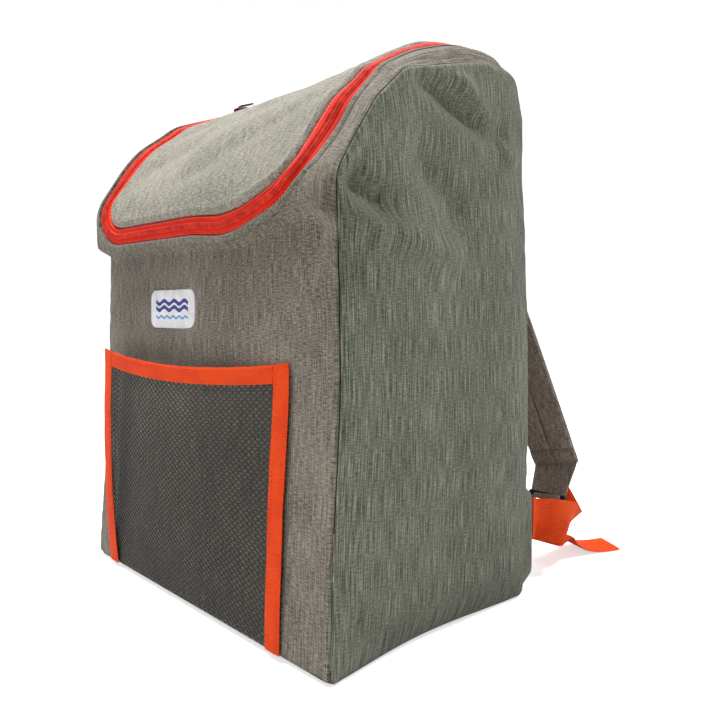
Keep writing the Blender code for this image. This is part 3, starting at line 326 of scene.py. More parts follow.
@dataclass(frozen=True)
class Skin:
    """The bag's outer surface, that every other piece sits on. Lengths are in metres."""

    width: float = 0.300
    depth: float = 0.185
    front_height: float = 0.290
    rise: float = 0.0955
    lip_height: float = 0.263
    zip_inset: float = 0.022
    zip_radius: float = 0.036
    zip_back_margin: float = 0.032
    lid_lift_full: float = 0.016
    ledge_run: float = 0.010
    side_swell: float = 0.005
    front_flare: float = 0.0085
    corner_spread: float = 0.006
    corner_run: float = 0.085
    flare_height: float = 0.165
    foot_tuck: float = 0.005
    foot_height: float = 0.030
    settle_fade: float = 0.020
    fall_left: float = 2.6
    fall_right: float = 0.6
    corner_drawn_up: float = 0.0125
    edge_sag: float = 0.0030
    arm_drawn_out: float = 0.0110
    profile: Profile = field(init=False)

    def __post_init__(self) -> None:
        """Makes the side profile from the sizes."""
        object.__setattr__(self, "profile", Profile(self.depth, self.front_height, self.rise))

    @property
    def half(self) -> float:
        """Half of the bag's width."""
        return self.width / 2

    @property
    def back(self) -> float:
        """Y of the back."""
        return self.depth / 2

    @property
    def lip(self) -> float:
        """Station of the front edge of the zip."""
        return self.profile.at_height(self.lip_height)

    @property
    def zip_end(self) -> float:
        """Station of both ends of the zip, near the back seam."""
        return self.profile.at_depth(1.0 - self.zip_back_margin / self.depth)

    @property
    def opening(self) -> float:
        """Half width of the lid's opening behind its rounded corners."""
        return self.half - self.zip_inset

    def lift_along(self, stations: Array, column: int) -> Array:
        """A column of SKIN_LIFT at stations, smooth between its rows, in metres."""
        places = [self.lip] + [self.profile.at_depth(row[1]) for row in SKIN_LIFT[1:-1]]
        places = np.array([*places, self.profile.back_seam])
        values = np.array([row[column] for row in SKIN_LIFT]) * self.lid_lift_full
        stations = np.asarray(stations, float)
        shifts = np.linspace(-0.009, 0.009, 7)
        blended = sum(np.interp(stations + shift, places, values) for shift in shifts) / len(shifts)
        return blended * smooth_steps(0.0, 0.012, self.profile.back_seam - stations)

    def band_lift(self, stations: Array, across: Array) -> Array:
        """Stand-off outside the zip: none at the side seam, full at the zip."""
        inset = np.clip((self.half - np.abs(across)) / self.zip_inset, 0.0, 1.0)
        right = 0.5 + across / self.width
        level = self.lift_along(stations, 2) * (1 - right) + self.lift_along(stations, 3) * right
        above = smooth_steps(self.lip - self.ledge_run, self.lip + 0.0003, stations)
        steep = np.where(np.asarray(across) < 0, self.fall_left, self.fall_right)
        return level * np.sin(inset * math.pi / 2) ** steep * above

    def lid_lift(self, stations: Array, across: Array) -> Array:
        """Stand-off of the lid: its edges' level, and a crown between them."""
        stations = np.maximum(stations, self.lip)
        left, middle, right = (self.lift_along(stations, column) for column in (4, 5, 6))
        share = across / self.half
        edges = (left + right) / 2 + (right - left) / 2 * share
        return edges + (middle - (left + right) / 2) * (1 - share**2)

    def dragged(self, stations: Array, across: Array) -> tuple[Array, Array]:
        """The cloth moved by the zip's pull: its right corner is drawn up, its left arm out."""
        drawn = smooth_steps(0.036, 0.122, across) * (1 - smooth_steps(0.130, self.half, across))
        near = np.exp(-(((stations - self.lip - 0.004) / 0.027) ** 2))
        low = smooth_steps(0.0, 0.05, across) * (1 - smooth_steps(0.060, 0.100, across)) * near
        out = smooth_steps(0.050, 0.122, -across) * (1 - smooth_steps(0.128, self.half, -across))
        out = out * smooth_steps(self.lip - 0.020, self.lip, stations)
        out = out * (1 - smooth_steps(self.lip + 0.070, self.lip + 0.150, stations))
        stations = stations + self.corner_drawn_up * drawn * near - self.edge_sag * low
        return stations, across - self.arm_drawn_out * out

    def settle(self, points: Array) -> Array:
        """The filled bag's form: its sides swell by a sine of the height, its foot spreads."""
        points = np.array(points, float)
        x, y, z = points[..., 0], points[..., 1], points[..., 2]
        behind = 1 - smooth_steps(0.0, self.settle_fade, y - self.back)
        swell = self.side_swell * np.sin(math.pi * np.clip(z / (self.front_height + 0.02), 0, 1))
        front = np.clip((self.back - y) / self.depth, 0, 1) ** 2
        middle = np.clip(np.cos(math.pi * y / self.depth), 0, 1)
        tuck = self.foot_tuck * middle**2 * np.clip(1 - z / self.foot_height, 0, 1) ** 2
        corner = np.clip(1 - (y + self.back) / self.corner_run, 0, 1) ** 2
        corner = self.corner_spread * corner * np.clip(1 - z / self.corner_run, 0, 1)
        points[..., 0] = x + np.clip(x / self.half, -1, 1) * (swell - tuck + corner) * behind
        points[..., 1] = y - self.front_flare * front * np.clip(1 - z / self.flare_height, 0, 1)
        return points

    def at(self, stations: Array, across: Array, lift: Array) -> Array:
        """Points at stations and places across, standing lift off the profile."""
        stations, across, lift = np.broadcast_arrays(stations, across, lift)
        stations, across = self.dragged(stations, across)
        place, normal = self.profile.at(stations)
        flat = place + normal * lift[..., None]
        return self.settle(np.stack([across, flat[..., 0], flat[..., 1]], -1))


SKIN = Skin()


def grid_quads(rows: int, columns: int, closed: bool = False) -> Array:
    """Quads of a grid of points stored row by row, its columns joined round if closed."""
    index = np.arange(rows * columns).reshape(rows, columns)
    beside = np.roll(index, -1, axis=1) if closed else index[:, 1:]
    here = index if closed else index[:, :-1]
    return np.stack([here[:-1], beside[:-1], beside[1:], here[1:]], -1).reshape(-1, 4)


def turned_out(points: Array, quads: Array, centre: Array) -> Array:
    """The quads, all turned over if on the whole they face the centre."""
    a, b, c, d = (points[quads[:, k]] for k in range(4))
    away = (a + b + c + d) / 4 - centre
    return quads if np.sum(np.cross(c - a, d - b) * away) > 0 else quads[:, ::-1]


class Patchwork:
    """Surfaces that are put together into the mesh of one piece."""

    middle = np.array([0.0, 0.0, 0.18])

    def __init__(self) -> None:
        """Starts with no surface."""
        self.points: list[Array] = []
        self.quads: list[Array] = []
        self.cloth: list[Array] = []
        self.count = 0

    def add(self, points: Array, quads: Array, cloth: Array) -> None:
        """Takes points, quads that index them and cloth coordinates in metres."""
        self.points.append(points.reshape(-1, 3))
        self.quads.append(quads + self.count)
        self.cloth.append(np.asarray(cloth, float).reshape(-1, 2))
        self.count += len(self.points[-1])

    def grid(self, points: Array, cloth: Array, shown: Array | None = None) -> None:
        """Adds an open surface that faces away from the bag's middle.

        Args:
            points: rows x columns x 3.
            cloth: rows x columns x 2, in metres.
            shown: rows-1 x columns-1, true for the quads to keep.
        """
        quads = grid_quads(*points.shape[:2])
        if shown is not None:
            quads = quads[shown.reshape(-1)]
        flat = points.reshape(-1, 3)
        self.add(flat, turned_out(flat, quads, self.middle), cloth)

    def shell(self, top: Array, bottom: Array, cloth: Array) -> None:
        """Adds a closed wall between two grids: top, then round the rim to the bottom."""
        rows, columns = top.shape[:2]
        index = np.arange(rows * columns).reshape(rows, columns)
        rim = np.concatenate([index[0], index[1:, -1], index[-1, -2::-1], index[-2:0:-1, 0]])
        following = np.roll(rim, -1)
        count = rows * columns
        sides = np.stack([following, rim, rim + count, following + count], -1)
        flat = grid_quads(rows, columns)
        quads = np.concatenate([flat, flat[:, ::-1] + count, sides])
        points = np.concatenate([top.reshape(-1, 3), bottom.reshape(-1, 3)])
        cloth = np.asarray(cloth, float).reshape(-1, 2)
        self.add(points, turned_out(points, quads, points.mean(axis=0)), np.concatenate([cloth, cloth]))

    def ribbon(self, middle: Array, thickness: Array, cloth: Array) -> None:
        """Adds a sheet: the grid moved out and in along its normals by half the thickness."""
        step = grid_normals(middle) * (np.broadcast_to(thickness, middle.shape[:2]) / 2)[..., None]
        self.shell(middle + step, middle - step, cloth)

    def copies(self, shape: Array, quads: Array, places: Array, axes: Array) -> None:
        """Adds a small closed shape at many places.

        Args:
            shape: its points.
            quads: its quads.
            places: count x 3.
            axes: count x 3 x 3, whose columns are the shape's own axes.
        """
        points = places[:, None, :] + np.einsum("nij,kj->nki", axes, shape)
        quads = turned_out(shape, quads, shape.mean(axis=0))
        starts = np.arange(len(places))[:, None, None] * len(shape)
        self.add(points, (quads[None] + starts).reshape(-1, 4), points[..., [0, 2]])

    def make(self, name: str, nodes: tuple[str, ...], finish: "Finish",
             sharp: float = 180.0) -> bpy.types.Object:
        """Makes the piece.

        Args:
            name: name of the piece.
            nodes: the solids that it stands for.
            finish: the finish it is dressed in.
            sharp: angle in degrees from which an edge is shown as a crease.

        Returns:
            The object, which rides on the root.
        """
        points, quads = np.concatenate(self.points), np.concatenate(self.quads)
        mesh = bpy.data.meshes.new(name)
        mesh.from_pydata(points.tolist(), [], quads.tolist())
        layer = mesh.uv_layers.new(name="cloth")
        layer.data.foreach_set("uv", np.concatenate(self.cloth)[quads.reshape(-1)].reshape(-1))
        mesh.shade_smooth()
        if sharp < 180.0:
            mesh.set_sharp_from_angle(angle=math.radians(sharp))
        mesh.materials.append(finish.material())
        piece = bpy.data.objects.new(name, mesh)
        bpy.context.scene.collection.objects.link(piece)
        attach(piece, "root")
        if nodes:
            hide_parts(*nodes)
        log.info("%s: %d quads", name, len(quads))
        return piece


def linear(code: str) -> tuple[float, float, float, float]:
    """Linear colour of an sRGB code such as #808080."""
    values = (int(code[i:i + 2], 16) / 255 for i in (1, 3, 5))
    return (*(v / 12.92 if v <= 0.04045 else ((v + 0.055) / 1.055) ** 2.4 for v in values), 1.0)


def add_node(tree: bpy.types.NodeTree, kind: str, inputs: dict | None = None, **settings) -> bpy.types.Node:
    """Adds a shader node.

    Args:
        tree: the node tree.
        kind: the node's type without its prefix.
        inputs: socket values, or the sockets to link from, by socket name or number.
        settings: the node's own properties.

    Returns:
        The node.
    """
    made = tree.nodes.new("ShaderNode" + kind)
    for name, value in settings.items():
        setattr(made, name, value)
    for name, value in (inputs or {}).items():
        if isinstance(value, bpy.types.NodeSocket):
            tree.links.new(value, made.inputs[name])
        else:
            made.inputs[name].default_value = value
    return made


def new_material(name: str) -> tuple[bpy.types.Material, bpy.types.NodeTree, bpy.types.Node]:
    """A new material, its node tree and its surface shader."""
    material = bpy.data.materials.new(name)
    material.use_nodes = True
    return material, material.node_tree, material.node_tree.nodes["Principled BSDF"]


def threads(tree: bpy.types.NodeTree, cloth: bpy.types.NodeSocket, scale: tuple[float, float],
            detail: float = 2.0) -> bpy.types.NodeSocket:
    """Noise drawn out by different scales along the cloth's two directions."""
    spread = add_node(tree, "Mapping", {"Vector": cloth, "Scale": (*scale, 1.0)})
    noise = add_node(tree, "TexNoise", {"Vector": spread.outputs[0], "Scale": 1.0, "Detail": detail},
                     noise_dimensions="2D")
    return noise.outputs["Fac"]


def weighted(tree: bpy.types.NodeTree,
             parts: list[tuple[bpy.types.NodeSocket, float]]) -> bpy.types.NodeSocket:
    """Sum of sockets times their weights."""
    total = None
    for socket, weight in parts:
        kind = "MULTIPLY" if total is None else "MULTIPLY_ADD"
        inputs = {0: socket, 1: weight} if total is None else {0: socket, 1: weight, 2: total}
        total = add_node(tree, "Math", inputs, operation=kind).outputs[0]
    return total


def ramp(tree: bpy.types.NodeTree, factor: bpy.types.NodeSocket, stops: list[tuple[float, str]],
         sharp: bool = False) -> bpy.types.NodeSocket:
    """Colours between stops, each a place and an sRGB code."""
    made = add_node(tree, "ValToRGB", {"Fac": factor})
    made.color_ramp.interpolation = "CONSTANT" if sharp else "LINEAR"
    elements = made.color_ramp.elements
    for element, (place, code) in zip(elements, stops):
        element.position, element.color = place, linear(code)
    for place, code in stops[2:]:
        elements.new(place).color = linear(code)
    return made.outputs["Color"]


def relieve(tree: bpy.types.NodeTree, shader: bpy.types.Node, height: bpy.types.NodeSocket,
            distance: float, strength: float) -> None:
    """Gives a shader a fine relief."""
    bump = add_node(tree, "Bump", {"Height": height, "Distance": distance, "Strength": strength})
    tree.links.new(bump.outputs["Normal"], shader.inputs["Normal"])


@dataclass(frozen=True)
class Finish:
    """A named material that is made once and then shared by its pieces."""

    name: str

    def paint(self, tree: bpy.types.NodeTree, shader: bpy.types.Node) -> None:
        """Adds the nodes that give the look."""
        raise NotImplementedError

    def material(self) -> bpy.types.Material:
        """The material, made at the first call."""
        if self.name in bpy.data.materials:
            return bpy.data.materials[self.name]
        material, tree, shader = new_material(self.name)
        self.paint(tree, shader)
        return material


@dataclass(frozen=True)
class HeatherCanvas(Finish):
    """Heathered polyester canvas.

    Long pale and dark slubs give it the streaked linen look, short ones across them the
    crosshatch, and the weave's relief takes the shine off.
    """

    dark: str
    body: str
    light: str
    pale: str
    slub_width: float = 0.00075
    slub_length: float = 0.022
    cross_width: float = 0.00070
    cross_length: float = 0.0045
    lengthwise: float = 0.5
    crosswise: float = 0.3
    relief: float = 0.00030

    def paint(self, tree: bpy.types.NodeTree, shader: bpy.types.Node) -> None:
        """Mixes slubs, cross threads and grain, and a broad unevenness of tone."""
        cloth = add_node(tree, "UVMap", uv_map="cloth").outputs["UV"]
        warp = threads(tree, cloth, (1 / self.slub_width, 1 / self.slub_length), 3.0)
        weft = threads(tree, cloth, (1 / self.cross_length, 1 / self.cross_width), 3.0)
        grain = threads(tree, cloth, (1 / 0.00065, 1 / 0.0009), 1.0)
        rest = 1.0 - self.lengthwise - self.crosswise
        weave = weighted(tree, [(warp, self.lengthwise), (weft, self.crosswise), (grain, rest)])
        broad = threads(tree, cloth, (1 / 0.060, 1 / 0.090), 2.0)
        shade = weighted(tree, [(weave, 1.0), (broad, 0.10)])
        stops = [(0.43, self.dark), (0.51, self.body), (0.58, self.light), (0.68, self.pale)]
        colour = ramp(tree, shade, stops)
        tree.links.new(colour, shader.inputs["Base Color"])
        shader.inputs["Roughness"].default_value = 0.88
        shader.inputs["IOR"].default_value = 1.45
        shader.inputs["Sheen Weight"].default_value = 0.12
        shader.inputs["Sheen Roughness"].default_value = 0.5
        relieve(tree, shader, weave, self.relief * 6, 0.55)


@dataclass(frozen=True)
class WovenTape(Finish):
    """Woven polyester tape: fine ribs across it and a soft unevenness of its dye."""

    body: str
    deep: str
    rib: float = 0.0009
    ribs: str = "Y"
    relief: float = 0.00020
    roughness: float = 0.62

    def paint(self, tree: bpy.types.NodeTree, shader: bpy.types.Node) -> None:
        """Mixes ribs, picks and yarn."""
        cloth = add_node(tree, "UVMap", uv_map="cloth").outputs["UV"]
        pitch = 0.314 / self.rib
        bands = {"Vector": cloth, "Scale": pitch, "Distortion": 0.8, "Detail": 1.0, "Detail Scale": 2.0}
        wave = add_node(tree, "TexWave", bands, wave_type="BANDS", bands_direction=self.ribs)
        cross = add_node(tree, "TexWave", {**bands, "Scale": pitch * 1.3}, wave_type="BANDS",
                         bands_direction="X" if self.ribs == "Y" else "Y")
        yarn = threads(tree, cloth, (1 / 0.0012, 1 / 0.0009), 2.0)
        broad = threads(tree, cloth, (1 / 0.020, 1 / 0.025), 2.0)
        ribs, picks = wave.outputs["Fac"], cross.outputs["Fac"]
        shade = weighted(tree, [(ribs, 0.10), (picks, 0.10), (yarn, 0.40), (broad, 0.40)])
        colour = ramp(tree, shade, [(0.34, self.deep), (0.56, self.body)])
        tree.links.new(colour, shader.inputs["Base Color"])
        shader.inputs["Roughness"].default_value = self.roughness
        shader.inputs["IOR"].default_value = 1.5
        shader.inputs["Specular IOR Level"].default_value = 0.2
        height = weighted(tree, [(ribs, 0.45), (picks, 0.35), (yarn, 0.2)])
        relieve(tree, shader, height, self.relief * 4, 0.5)


@dataclass(frozen=True)
class Moulded(Finish):
    """Moulded or enamelled hard surface: an even colour broken by wear and a fine grain."""

    body: str
    worn: str
    roughness: float
    grain: float = 0.0012
    relief: float = 0.00004
    metallic: float = 0.0

    def paint(self, tree: bpy.types.NodeTree, shader: bpy.types.Node) -> None:
        """An even colour with worn spots."""
        place = add_node(tree, "TexCoord").outputs["Object"]
        grain = add_node(tree, "TexNoise", {"Vector": place, "Scale": 1 / self.grain, "Detail": 2.0})
        wear = add_node(tree, "TexNoise", {"Vector": place, "Scale": 180.0, "Detail": 3.0})
        colour = ramp(tree, wear.outputs["Fac"], [(0.42, self.body), (0.66, self.worn)])
        tree.links.new(colour, shader.inputs["Base Color"])
        shader.inputs["Roughness"].default_value = self.roughness
        shader.inputs["Metallic"].default_value = self.metallic
        shader.inputs["Specular IOR Level"].default_value = 0.3
        relieve(tree, shader, grain.outputs["Fac"], self.relief * 4, 0.5)


@dataclass(frozen=True)
class NetYarn(Finish):
    """Black knitted polyester yarn: nearly black, with a faint shine on its filaments."""

    name: str = "black net yarn"

    def paint(self, tree: bpy.types.NodeTree, shader: bpy.types.Node) -> None:
        """A twist of dark filaments."""
        cloth = add_node(tree, "UVMap", uv_map="cloth").outputs["UV"]
        twist = threads(tree, cloth, (1 / 0.0006, 1 / 0.0010), 2.0)
        colour = ramp(tree, twist, [(0.35, "#0C0D0C"), (0.70, "#2C2D2A")])
        tree.links.new(colour, shader.inputs["Base Color"])
        shader.inputs["Roughness"].default_value = 0.55
        shader.inputs["IOR"].default_value = 1.55
        relieve(tree, shader, twist, 0.0003, 0.4)


@dataclass(frozen=True)
class PatchVinyl(Finish):
    """White vinyl patch with three plain wavy bars: two violet-blue over a sky blue one."""

    name: str = "white vinyl"
    reach: float = 0.024
    rows: tuple[tuple[float, float, float, float, str], ...] = (
        # height of the middle (m), half thickness (m), swing (m), wave (m), colour
        (0.0050, 0.00150, 0.0013, 0.0150, "#1F1F86"),
        (0.0003, 0.00150, 0.0013, 0.0150, "#1F1F86"),
        (-0.0062, 0.00085, 0.0008, 0.0090, "#4E9BD8"),
    )

    def paint(self, tree: bpy.types.NodeTree, shader: bpy.types.Node) -> None:
        """White, with a bar wherever the height is near its own sine."""
        cloth = add_node(tree, "UVMap", uv_map="cloth").outputs["UV"]
        split = add_node(tree, "SeparateXYZ", {"Vector": cloth})
        across, up = split.outputs["X"], split.outputs["Y"]
        tone = threads(tree, cloth, (1 / 0.010, 1 / 0.010), 3.0)
        colour = ramp(tree, tone, [(0.30, "#DEDFE4"), (0.70, "#F4F4F6")])
        within = add_node(tree, "Math", {0: across}, operation="ABSOLUTE").outputs[0]
        within = add_node(tree, "Math", {0: within, 1: self.reach}, operation="LESS_THAN").outputs[0]
        for middle, thick, swing, wave, code in self.rows:
            turn = add_node(tree, "Math", {0: across, 1: 2 * math.pi / wave}, operation="MULTIPLY").outputs[0]
            curve = add_node(tree, "Math", {0: turn}, operation="SINE").outputs[0]
            line = add_node(tree, "Math", {0: curve, 1: swing, 2: middle}, operation="MULTIPLY_ADD")
            line = line.outputs[0]
            away = add_node(tree, "Math", {0: up, 1: line}, operation="SUBTRACT").outputs[0]
            away = add_node(tree, "Math", {0: away}, operation="ABSOLUTE").outputs[0]
            printed = add_node(tree, "Math", {0: away, 1: thick}, operation="LESS_THAN").outputs[0]
            printed = add_node(tree, "Math", {0: printed, 1: within}, operation="MULTIPLY").outputs[0]
            ink = ramp(tree, tone, [(0.30, code), (0.75, code)])
            mixed = add_node(tree, "MixRGB", {"Fac": printed, "Color1": colour, "Color2": ink})
            colour = mixed.outputs[0]
        tree.links.new(colour, shader.inputs["Base Color"])
        shader.inputs["Roughness"].default_value = 0.42
        shader.inputs["IOR"].default_value = 1.5
        grain = threads(tree, cloth, (1 / 0.0009, 1 / 0.0009), 2.0)
        relieve(tree, shader, grain, 0.0002, 0.3)


FRONT_CANVAS = HeatherCanvas("warm grey canvas", "#433E35", "#686257", "#7E776A", "#9F9788",
                             lengthwise=0.40, crosswise=0.40)
SIDE_CANVAS = HeatherCanvas("green grey canvas", "#41433A", "#606355", "#747665", "#96988A",
                            lengthwise=0.54, crosswise=0.28)
# The lid's canvas is the front's canvas with every stop made paler: painted top light, because the lid faces
# up into the light
LID_CANVAS_WITH_PAINTED_TOP_LIGHT = HeatherCanvas("grey canvas with painted top light", "#5F5D54", "#8A877A", "#9C9889", "#B8B4A5",
                           lengthwise=0.40, crosswise=0.38, slub_length=0.010)
STRAP_CANVAS = HeatherCanvas("brown grey canvas", "#5E524A", "#86776C", "#9B8D81", "#B4A89C",
                             lengthwise=0.45, crosswise=0.35, slub_length=0.009)
TAPE_FINISH = WovenTape("orange red zip tape", "#FA2A02", "#E01600", rib=0.0011)
BINDING_FINISH = WovenTape("orange binding", "#F24A00", "#DB3400", rib=0.0016, relief=0.00028)
WEBBING_FINISH = WovenTape("orange webbing", "#F85400", "#E23A00", rib=0.0020, relief=0.00035)
COIL_FINISH = Moulded("orange red coil", "#D01E06", "#F23A14", 0.50, grain=0.0006)
STITCH_FINISH = Moulded("pale sewing thread", "#E39A84", "#F0BBAA", 0.6, grain=0.0004)
ENAMEL = Moulded("maroon enamel on zinc", "#3E0A14", "#5A1420", 0.34)
PLASTIC = Moulded("black moulded plastic", "#17171A", "#232326", 0.48)


@dataclass
class Panels:
    """The six padded panels of the body, with rounded seams and soft folds."""

    seam_gap: float = 0.0010
    seam_radius: float = 0.0050
    hem_depth: float = 0.0040
    side_pillow: float = 0.0035
    side_pillow_run: float = 0.030
    back_pillow: float = 0.003
    lid_edge_radius: float = 0.0032
    zip_width: float = 0.0137
    clearance: float = 0.0003

    @property
    def mitre(self) -> float:
        """How far a rounded seam's edge lies in from the sharp corner."""
        return self.seam_radius * (1 - math.sqrt(0.5))

    def pucker(self, along: Array, inset: Array, seed: int) -> Array:
        """Small gathers next to a seam: noise along it that dies away over 7 mm."""
        long_waves = cloth_noise(along, inset * 0.25, 0.0085, seed)
        waves = long_waves + 0.5 * cloth_noise(along, inset, 0.004, seed + 1)
        return 0.0005 * waves * np.exp(-inset / 0.007) * np.clip(inset / 0.0012, 0.3, 1.0)

    def softness(self, first: Array, second: Array, seed: int) -> Array:
        """Unevenness of padded cloth at two scales."""
        broad = cloth_noise(first, second, 0.048, seed)
        return 0.0009 * broad + 0.0004 * cloth_noise(first, second, 0.019, seed + 1)

    def strip(self, name: str, stations: Array, across: Array, lift: Array, finish: Finish,
              shown: Array | None = None) -> None:
        """A panel that follows the profile, its border turned in.

        Args:
            name: name of the piece and of the node it stands for.
            stations: grid of stations.
            across: grid of places across.
            lift: grid of stand-offs.
            finish: the canvas.
            shown: the quads to keep, border included.
        """
        s, a, up = ringed(stations), ringed(across), ringed(lift)
        border = ring_mask(s.shape)
        points = SKIN.at(s, a - np.sign(a) * border * self.hem_depth * (np.abs(a) > 0.9 * np.abs(a).max()),
                         up - border * self.hem_depth)
        work = Patchwork()
        work.grid(points, np.stack([a, s], -1), shown)
        work.make(name, (name,), finish)

    def seam_dip(self, inset: Array) -> Array:
        """A shallow valley at a seam between two panels that run on."""
        return 0.0009 * np.clip(1 - inset / 0.0035, 0.0, 1.0) ** 2

    def front(self) -> None:
        """The front and its two bands beside the lid: one grid with the lid's opening left out."""
        profile, lip, radius = SKIN.profile, SKIN.lip, SKIN.zip_radius
        start, end = profile.base_front + self.seam_gap / 2, profile.back_seam - self.seam_gap / 2
        low = profile.spaced(start, lip, 130)
        arc = lip + radius * (1 - np.cos(np.linspace(0.0, math.pi / 2, 26)))[1:]
        high = profile.spaced(arc[-1], end, 105)[1:]
        stations = np.concatenate([low, arc, high])
        behind = np.clip(radius - (stations - lip), 0.0, radius)
        opening = SKIN.opening - radius + np.sqrt(radius**2 - behind**2) * (stations > lip)
        edge = SKIN.half - self.mitre - self.seam_gap / 2
        lin = np.linspace(0.0, 1.0, 34)
        shares = 0.55 * lin + 0.45 * (1 - np.cos(math.pi * lin)) / 2
        beside = opening[:, None] + (edge - opening[:, None]) * shares
        between = np.linspace(-1.0, 1.0, 92)[1:-1] * opening[:, None]
        across = np.concatenate([-beside[:, ::-1], between, beside], axis=1)
        s = np.broadcast_to(stations[:, None], across.shape)
        inset = edge - np.abs(across)
        lift = SKIN.band_lift(s, across) * smooth_steps(0.0, 0.007, inset)
        lift = lift - edge_drop(inset, self.seam_radius) + self.pucker(s + across * 0.1, inset, 3)
        up_front = s - profile.base_front
        lift = lift + fold_relief(across, up_front, FRONT_CREASES, SKIN.half, SKIN.front_height)
        free = smooth_steps(0.0, 0.02, inset) * smooth_steps(0, 0.03, lip - s)
        lift = lift + self.softness(across, s, 11) * free
        lift = lift - self.seam_dip(s - start) - self.seam_dip(end - s)
        inside = np.abs(across) <= opening[:, None] + 1e-9
        middle = inside[:, :-1] & inside[:, 1:]
        shown = ~(middle[:-1] & (s[:-1, :-1] >= lip - 1e-9))
        shown = np.pad(shown, 1, mode="edge")
        shown[-1, 1:-1] = shown[-2, 1:-1]
        self.strip("front_panel", s, across, lift, FRONT_CANVAS, shown)

    def zip_edge_distance(self, stations: Array, across: Array, edge: float) -> Array:
        """Distance to the lid's edge in the (across, station) plane.

        Args:
            stations: grid of stations.
            across: grid of places across.
            edge: offset of the lid's edge from the zip's outer edge.

        Returns:
            Distances: to the straight arms, the straight front or the rounded corners.
        """
        side, front = SKIN.opening - edge, SKIN.lip + edge
        radius = SKIN.zip_radius - edge
        x = np.abs(across)
        corner_x, corner_s = side - radius, front + radius
        rounded = radius - np.hypot(x - corner_x, stations - corner_s)
        straight = np.minimum(side - x, stations - front)
        in_corner = (x > corner_x) & (stations < corner_s)
        return np.where(in_corner, rounded, straight)

    def lid(self) -> None:
        """The lid: widths follow the zip's U, its edge rolls down to the tape."""
        edge = self.zip_width + self.clearance
        half, radius = SKIN.opening - edge, SKIN.zip_radius - edge
        turns = np.linspace(0.0, math.pi / 2, 30)
        corner = SKIN.lip + edge + radius * (1 - np.cos(turns))
        seam = SKIN.profile.back_seam - self.seam_gap / 2
        run = SKIN.profile.spaced(corner[-1], SKIN.zip_end, 110)[1:]
        tail = np.linspace(SKIN.zip_end + 0.0012, seam, 16)
        stations = np.concatenate([corner, run, tail])
        wide = SKIN.opening - 2 * self.clearance
        halves = np.concatenate([half - radius + radius * np.sin(turns), np.full(len(run), half),
                                 np.full(len(tail), wide)])
        lin = np.linspace(-1.0, 1.0, 110)
        shares = np.sign(lin) * (0.62 * np.abs(lin) + 0.38 * np.sin(np.abs(lin) * math.pi / 2))
        across = halves[:, None] * shares
        s = np.broadcast_to(stations[:, None], across.shape)
        distance = self.zip_edge_distance(s, across, edge)
        in_tail = np.broadcast_to((stations > SKIN.zip_end)[:, None], s.shape)
        distance = np.where(in_tail, wide - np.abs(across), distance)
        distance = np.clip(distance, 0.0, None)
        furrows = fold_relief(across, s - SKIN.lip, LID_FURROWS, SKIN.half, SKIN.profile.back_seam - SKIN.lip)
        soft = self.softness(across, s, 21) * 1.1
        lift = SKIN.lid_lift(s, across) + (furrows + soft) * smooth_steps(0.0, 0.025, distance)
        blend = smooth_steps(SKIN.zip_end - 0.010, SKIN.zip_end + 0.004, s) * shares**4
        lift = lift * (1 - blend) + SKIN.band_lift(s, across) * blend
        reach = np.clip(self.lid_edge_radius - distance, 0.0, self.lid_edge_radius)
        roll = self.lid_edge_radius - np.sqrt(self.lid_edge_radius**2 - reach**2)
        bead = 0.0009 * np.exp(-(((distance - 0.0042) / 0.0022) ** 2))
        ticks = 0.00025 * cloth_noise(s + across, distance, 0.003, 31) * np.exp(-distance / 0.004)
        lift = lift - roll * 0.8 + bead + ticks - self.seam_dip(seam - s)
        s, a, up = ringed(s), ringed(across), ringed(lift)
        border = ring_mask(s.shape)
        work = Patchwork()
        work.grid(SKIN.at(s, a, up - border * self.hem_depth), np.stack([a, s], -1))
        # The lid is dressed in the canvas whose paler palette is painted top light
        work.make("lid_panel", ("lid_panel",), LID_CANVAS_WITH_PAINTED_TOP_LIGHT)

    def back(self) -> None:
        """The back, softly padded between its seams."""
        gap = self.seam_gap / 2
        start, end = SKIN.profile.back_seam + gap, SKIN.profile.base_back - gap
        stations = SKIN.profile.spaced(start, end, 96)
        edge = SKIN.half - self.mitre - gap
        across = np.broadcast_to(np.linspace(-edge, edge, 84), (96, 84))
        s = np.broadcast_to(stations[:, None], across.shape)
        inset = edge - np.abs(across)
        up = np.clip(np.minimum(s - start, end - s) / 0.05, 0, 1)
        wide = np.clip(inset / 0.05, 0, 1)
        lift = self.back_pillow * np.sin(up * math.pi / 2) * np.sin(wide * math.pi / 2)
        lift = lift - edge_drop(inset, self.seam_radius) + self.pucker(s, inset, 41)
        lift = lift + self.softness(across, s, 43) * np.minimum(up, wide) * 0.4
        lift = lift - self.seam_dip(s - start) - self.seam_dip(end - s)
        self.strip("back_panel", s, across, lift, SIDE_CANVAS)

    def base(self) -> None:
        """The flat base, turned up at its front and back edges."""
        gap = self.seam_gap / 2
        start, end = SKIN.profile.base_back + gap, SKIN.profile.base_end - gap
        stations = SKIN.profile.spaced(start, end, 60)
        edge = SKIN.half - self.mitre - gap
        across = np.broadcast_to(np.linspace(-edge, edge, 60), (60, 60))
        s = np.broadcast_to(stations[:, None], across.shape)
        lift = -edge_drop(edge - np.abs(across), self.seam_radius * 0.6)
        self.strip("base_panel", s, across, lift, FRONT_CANVAS)

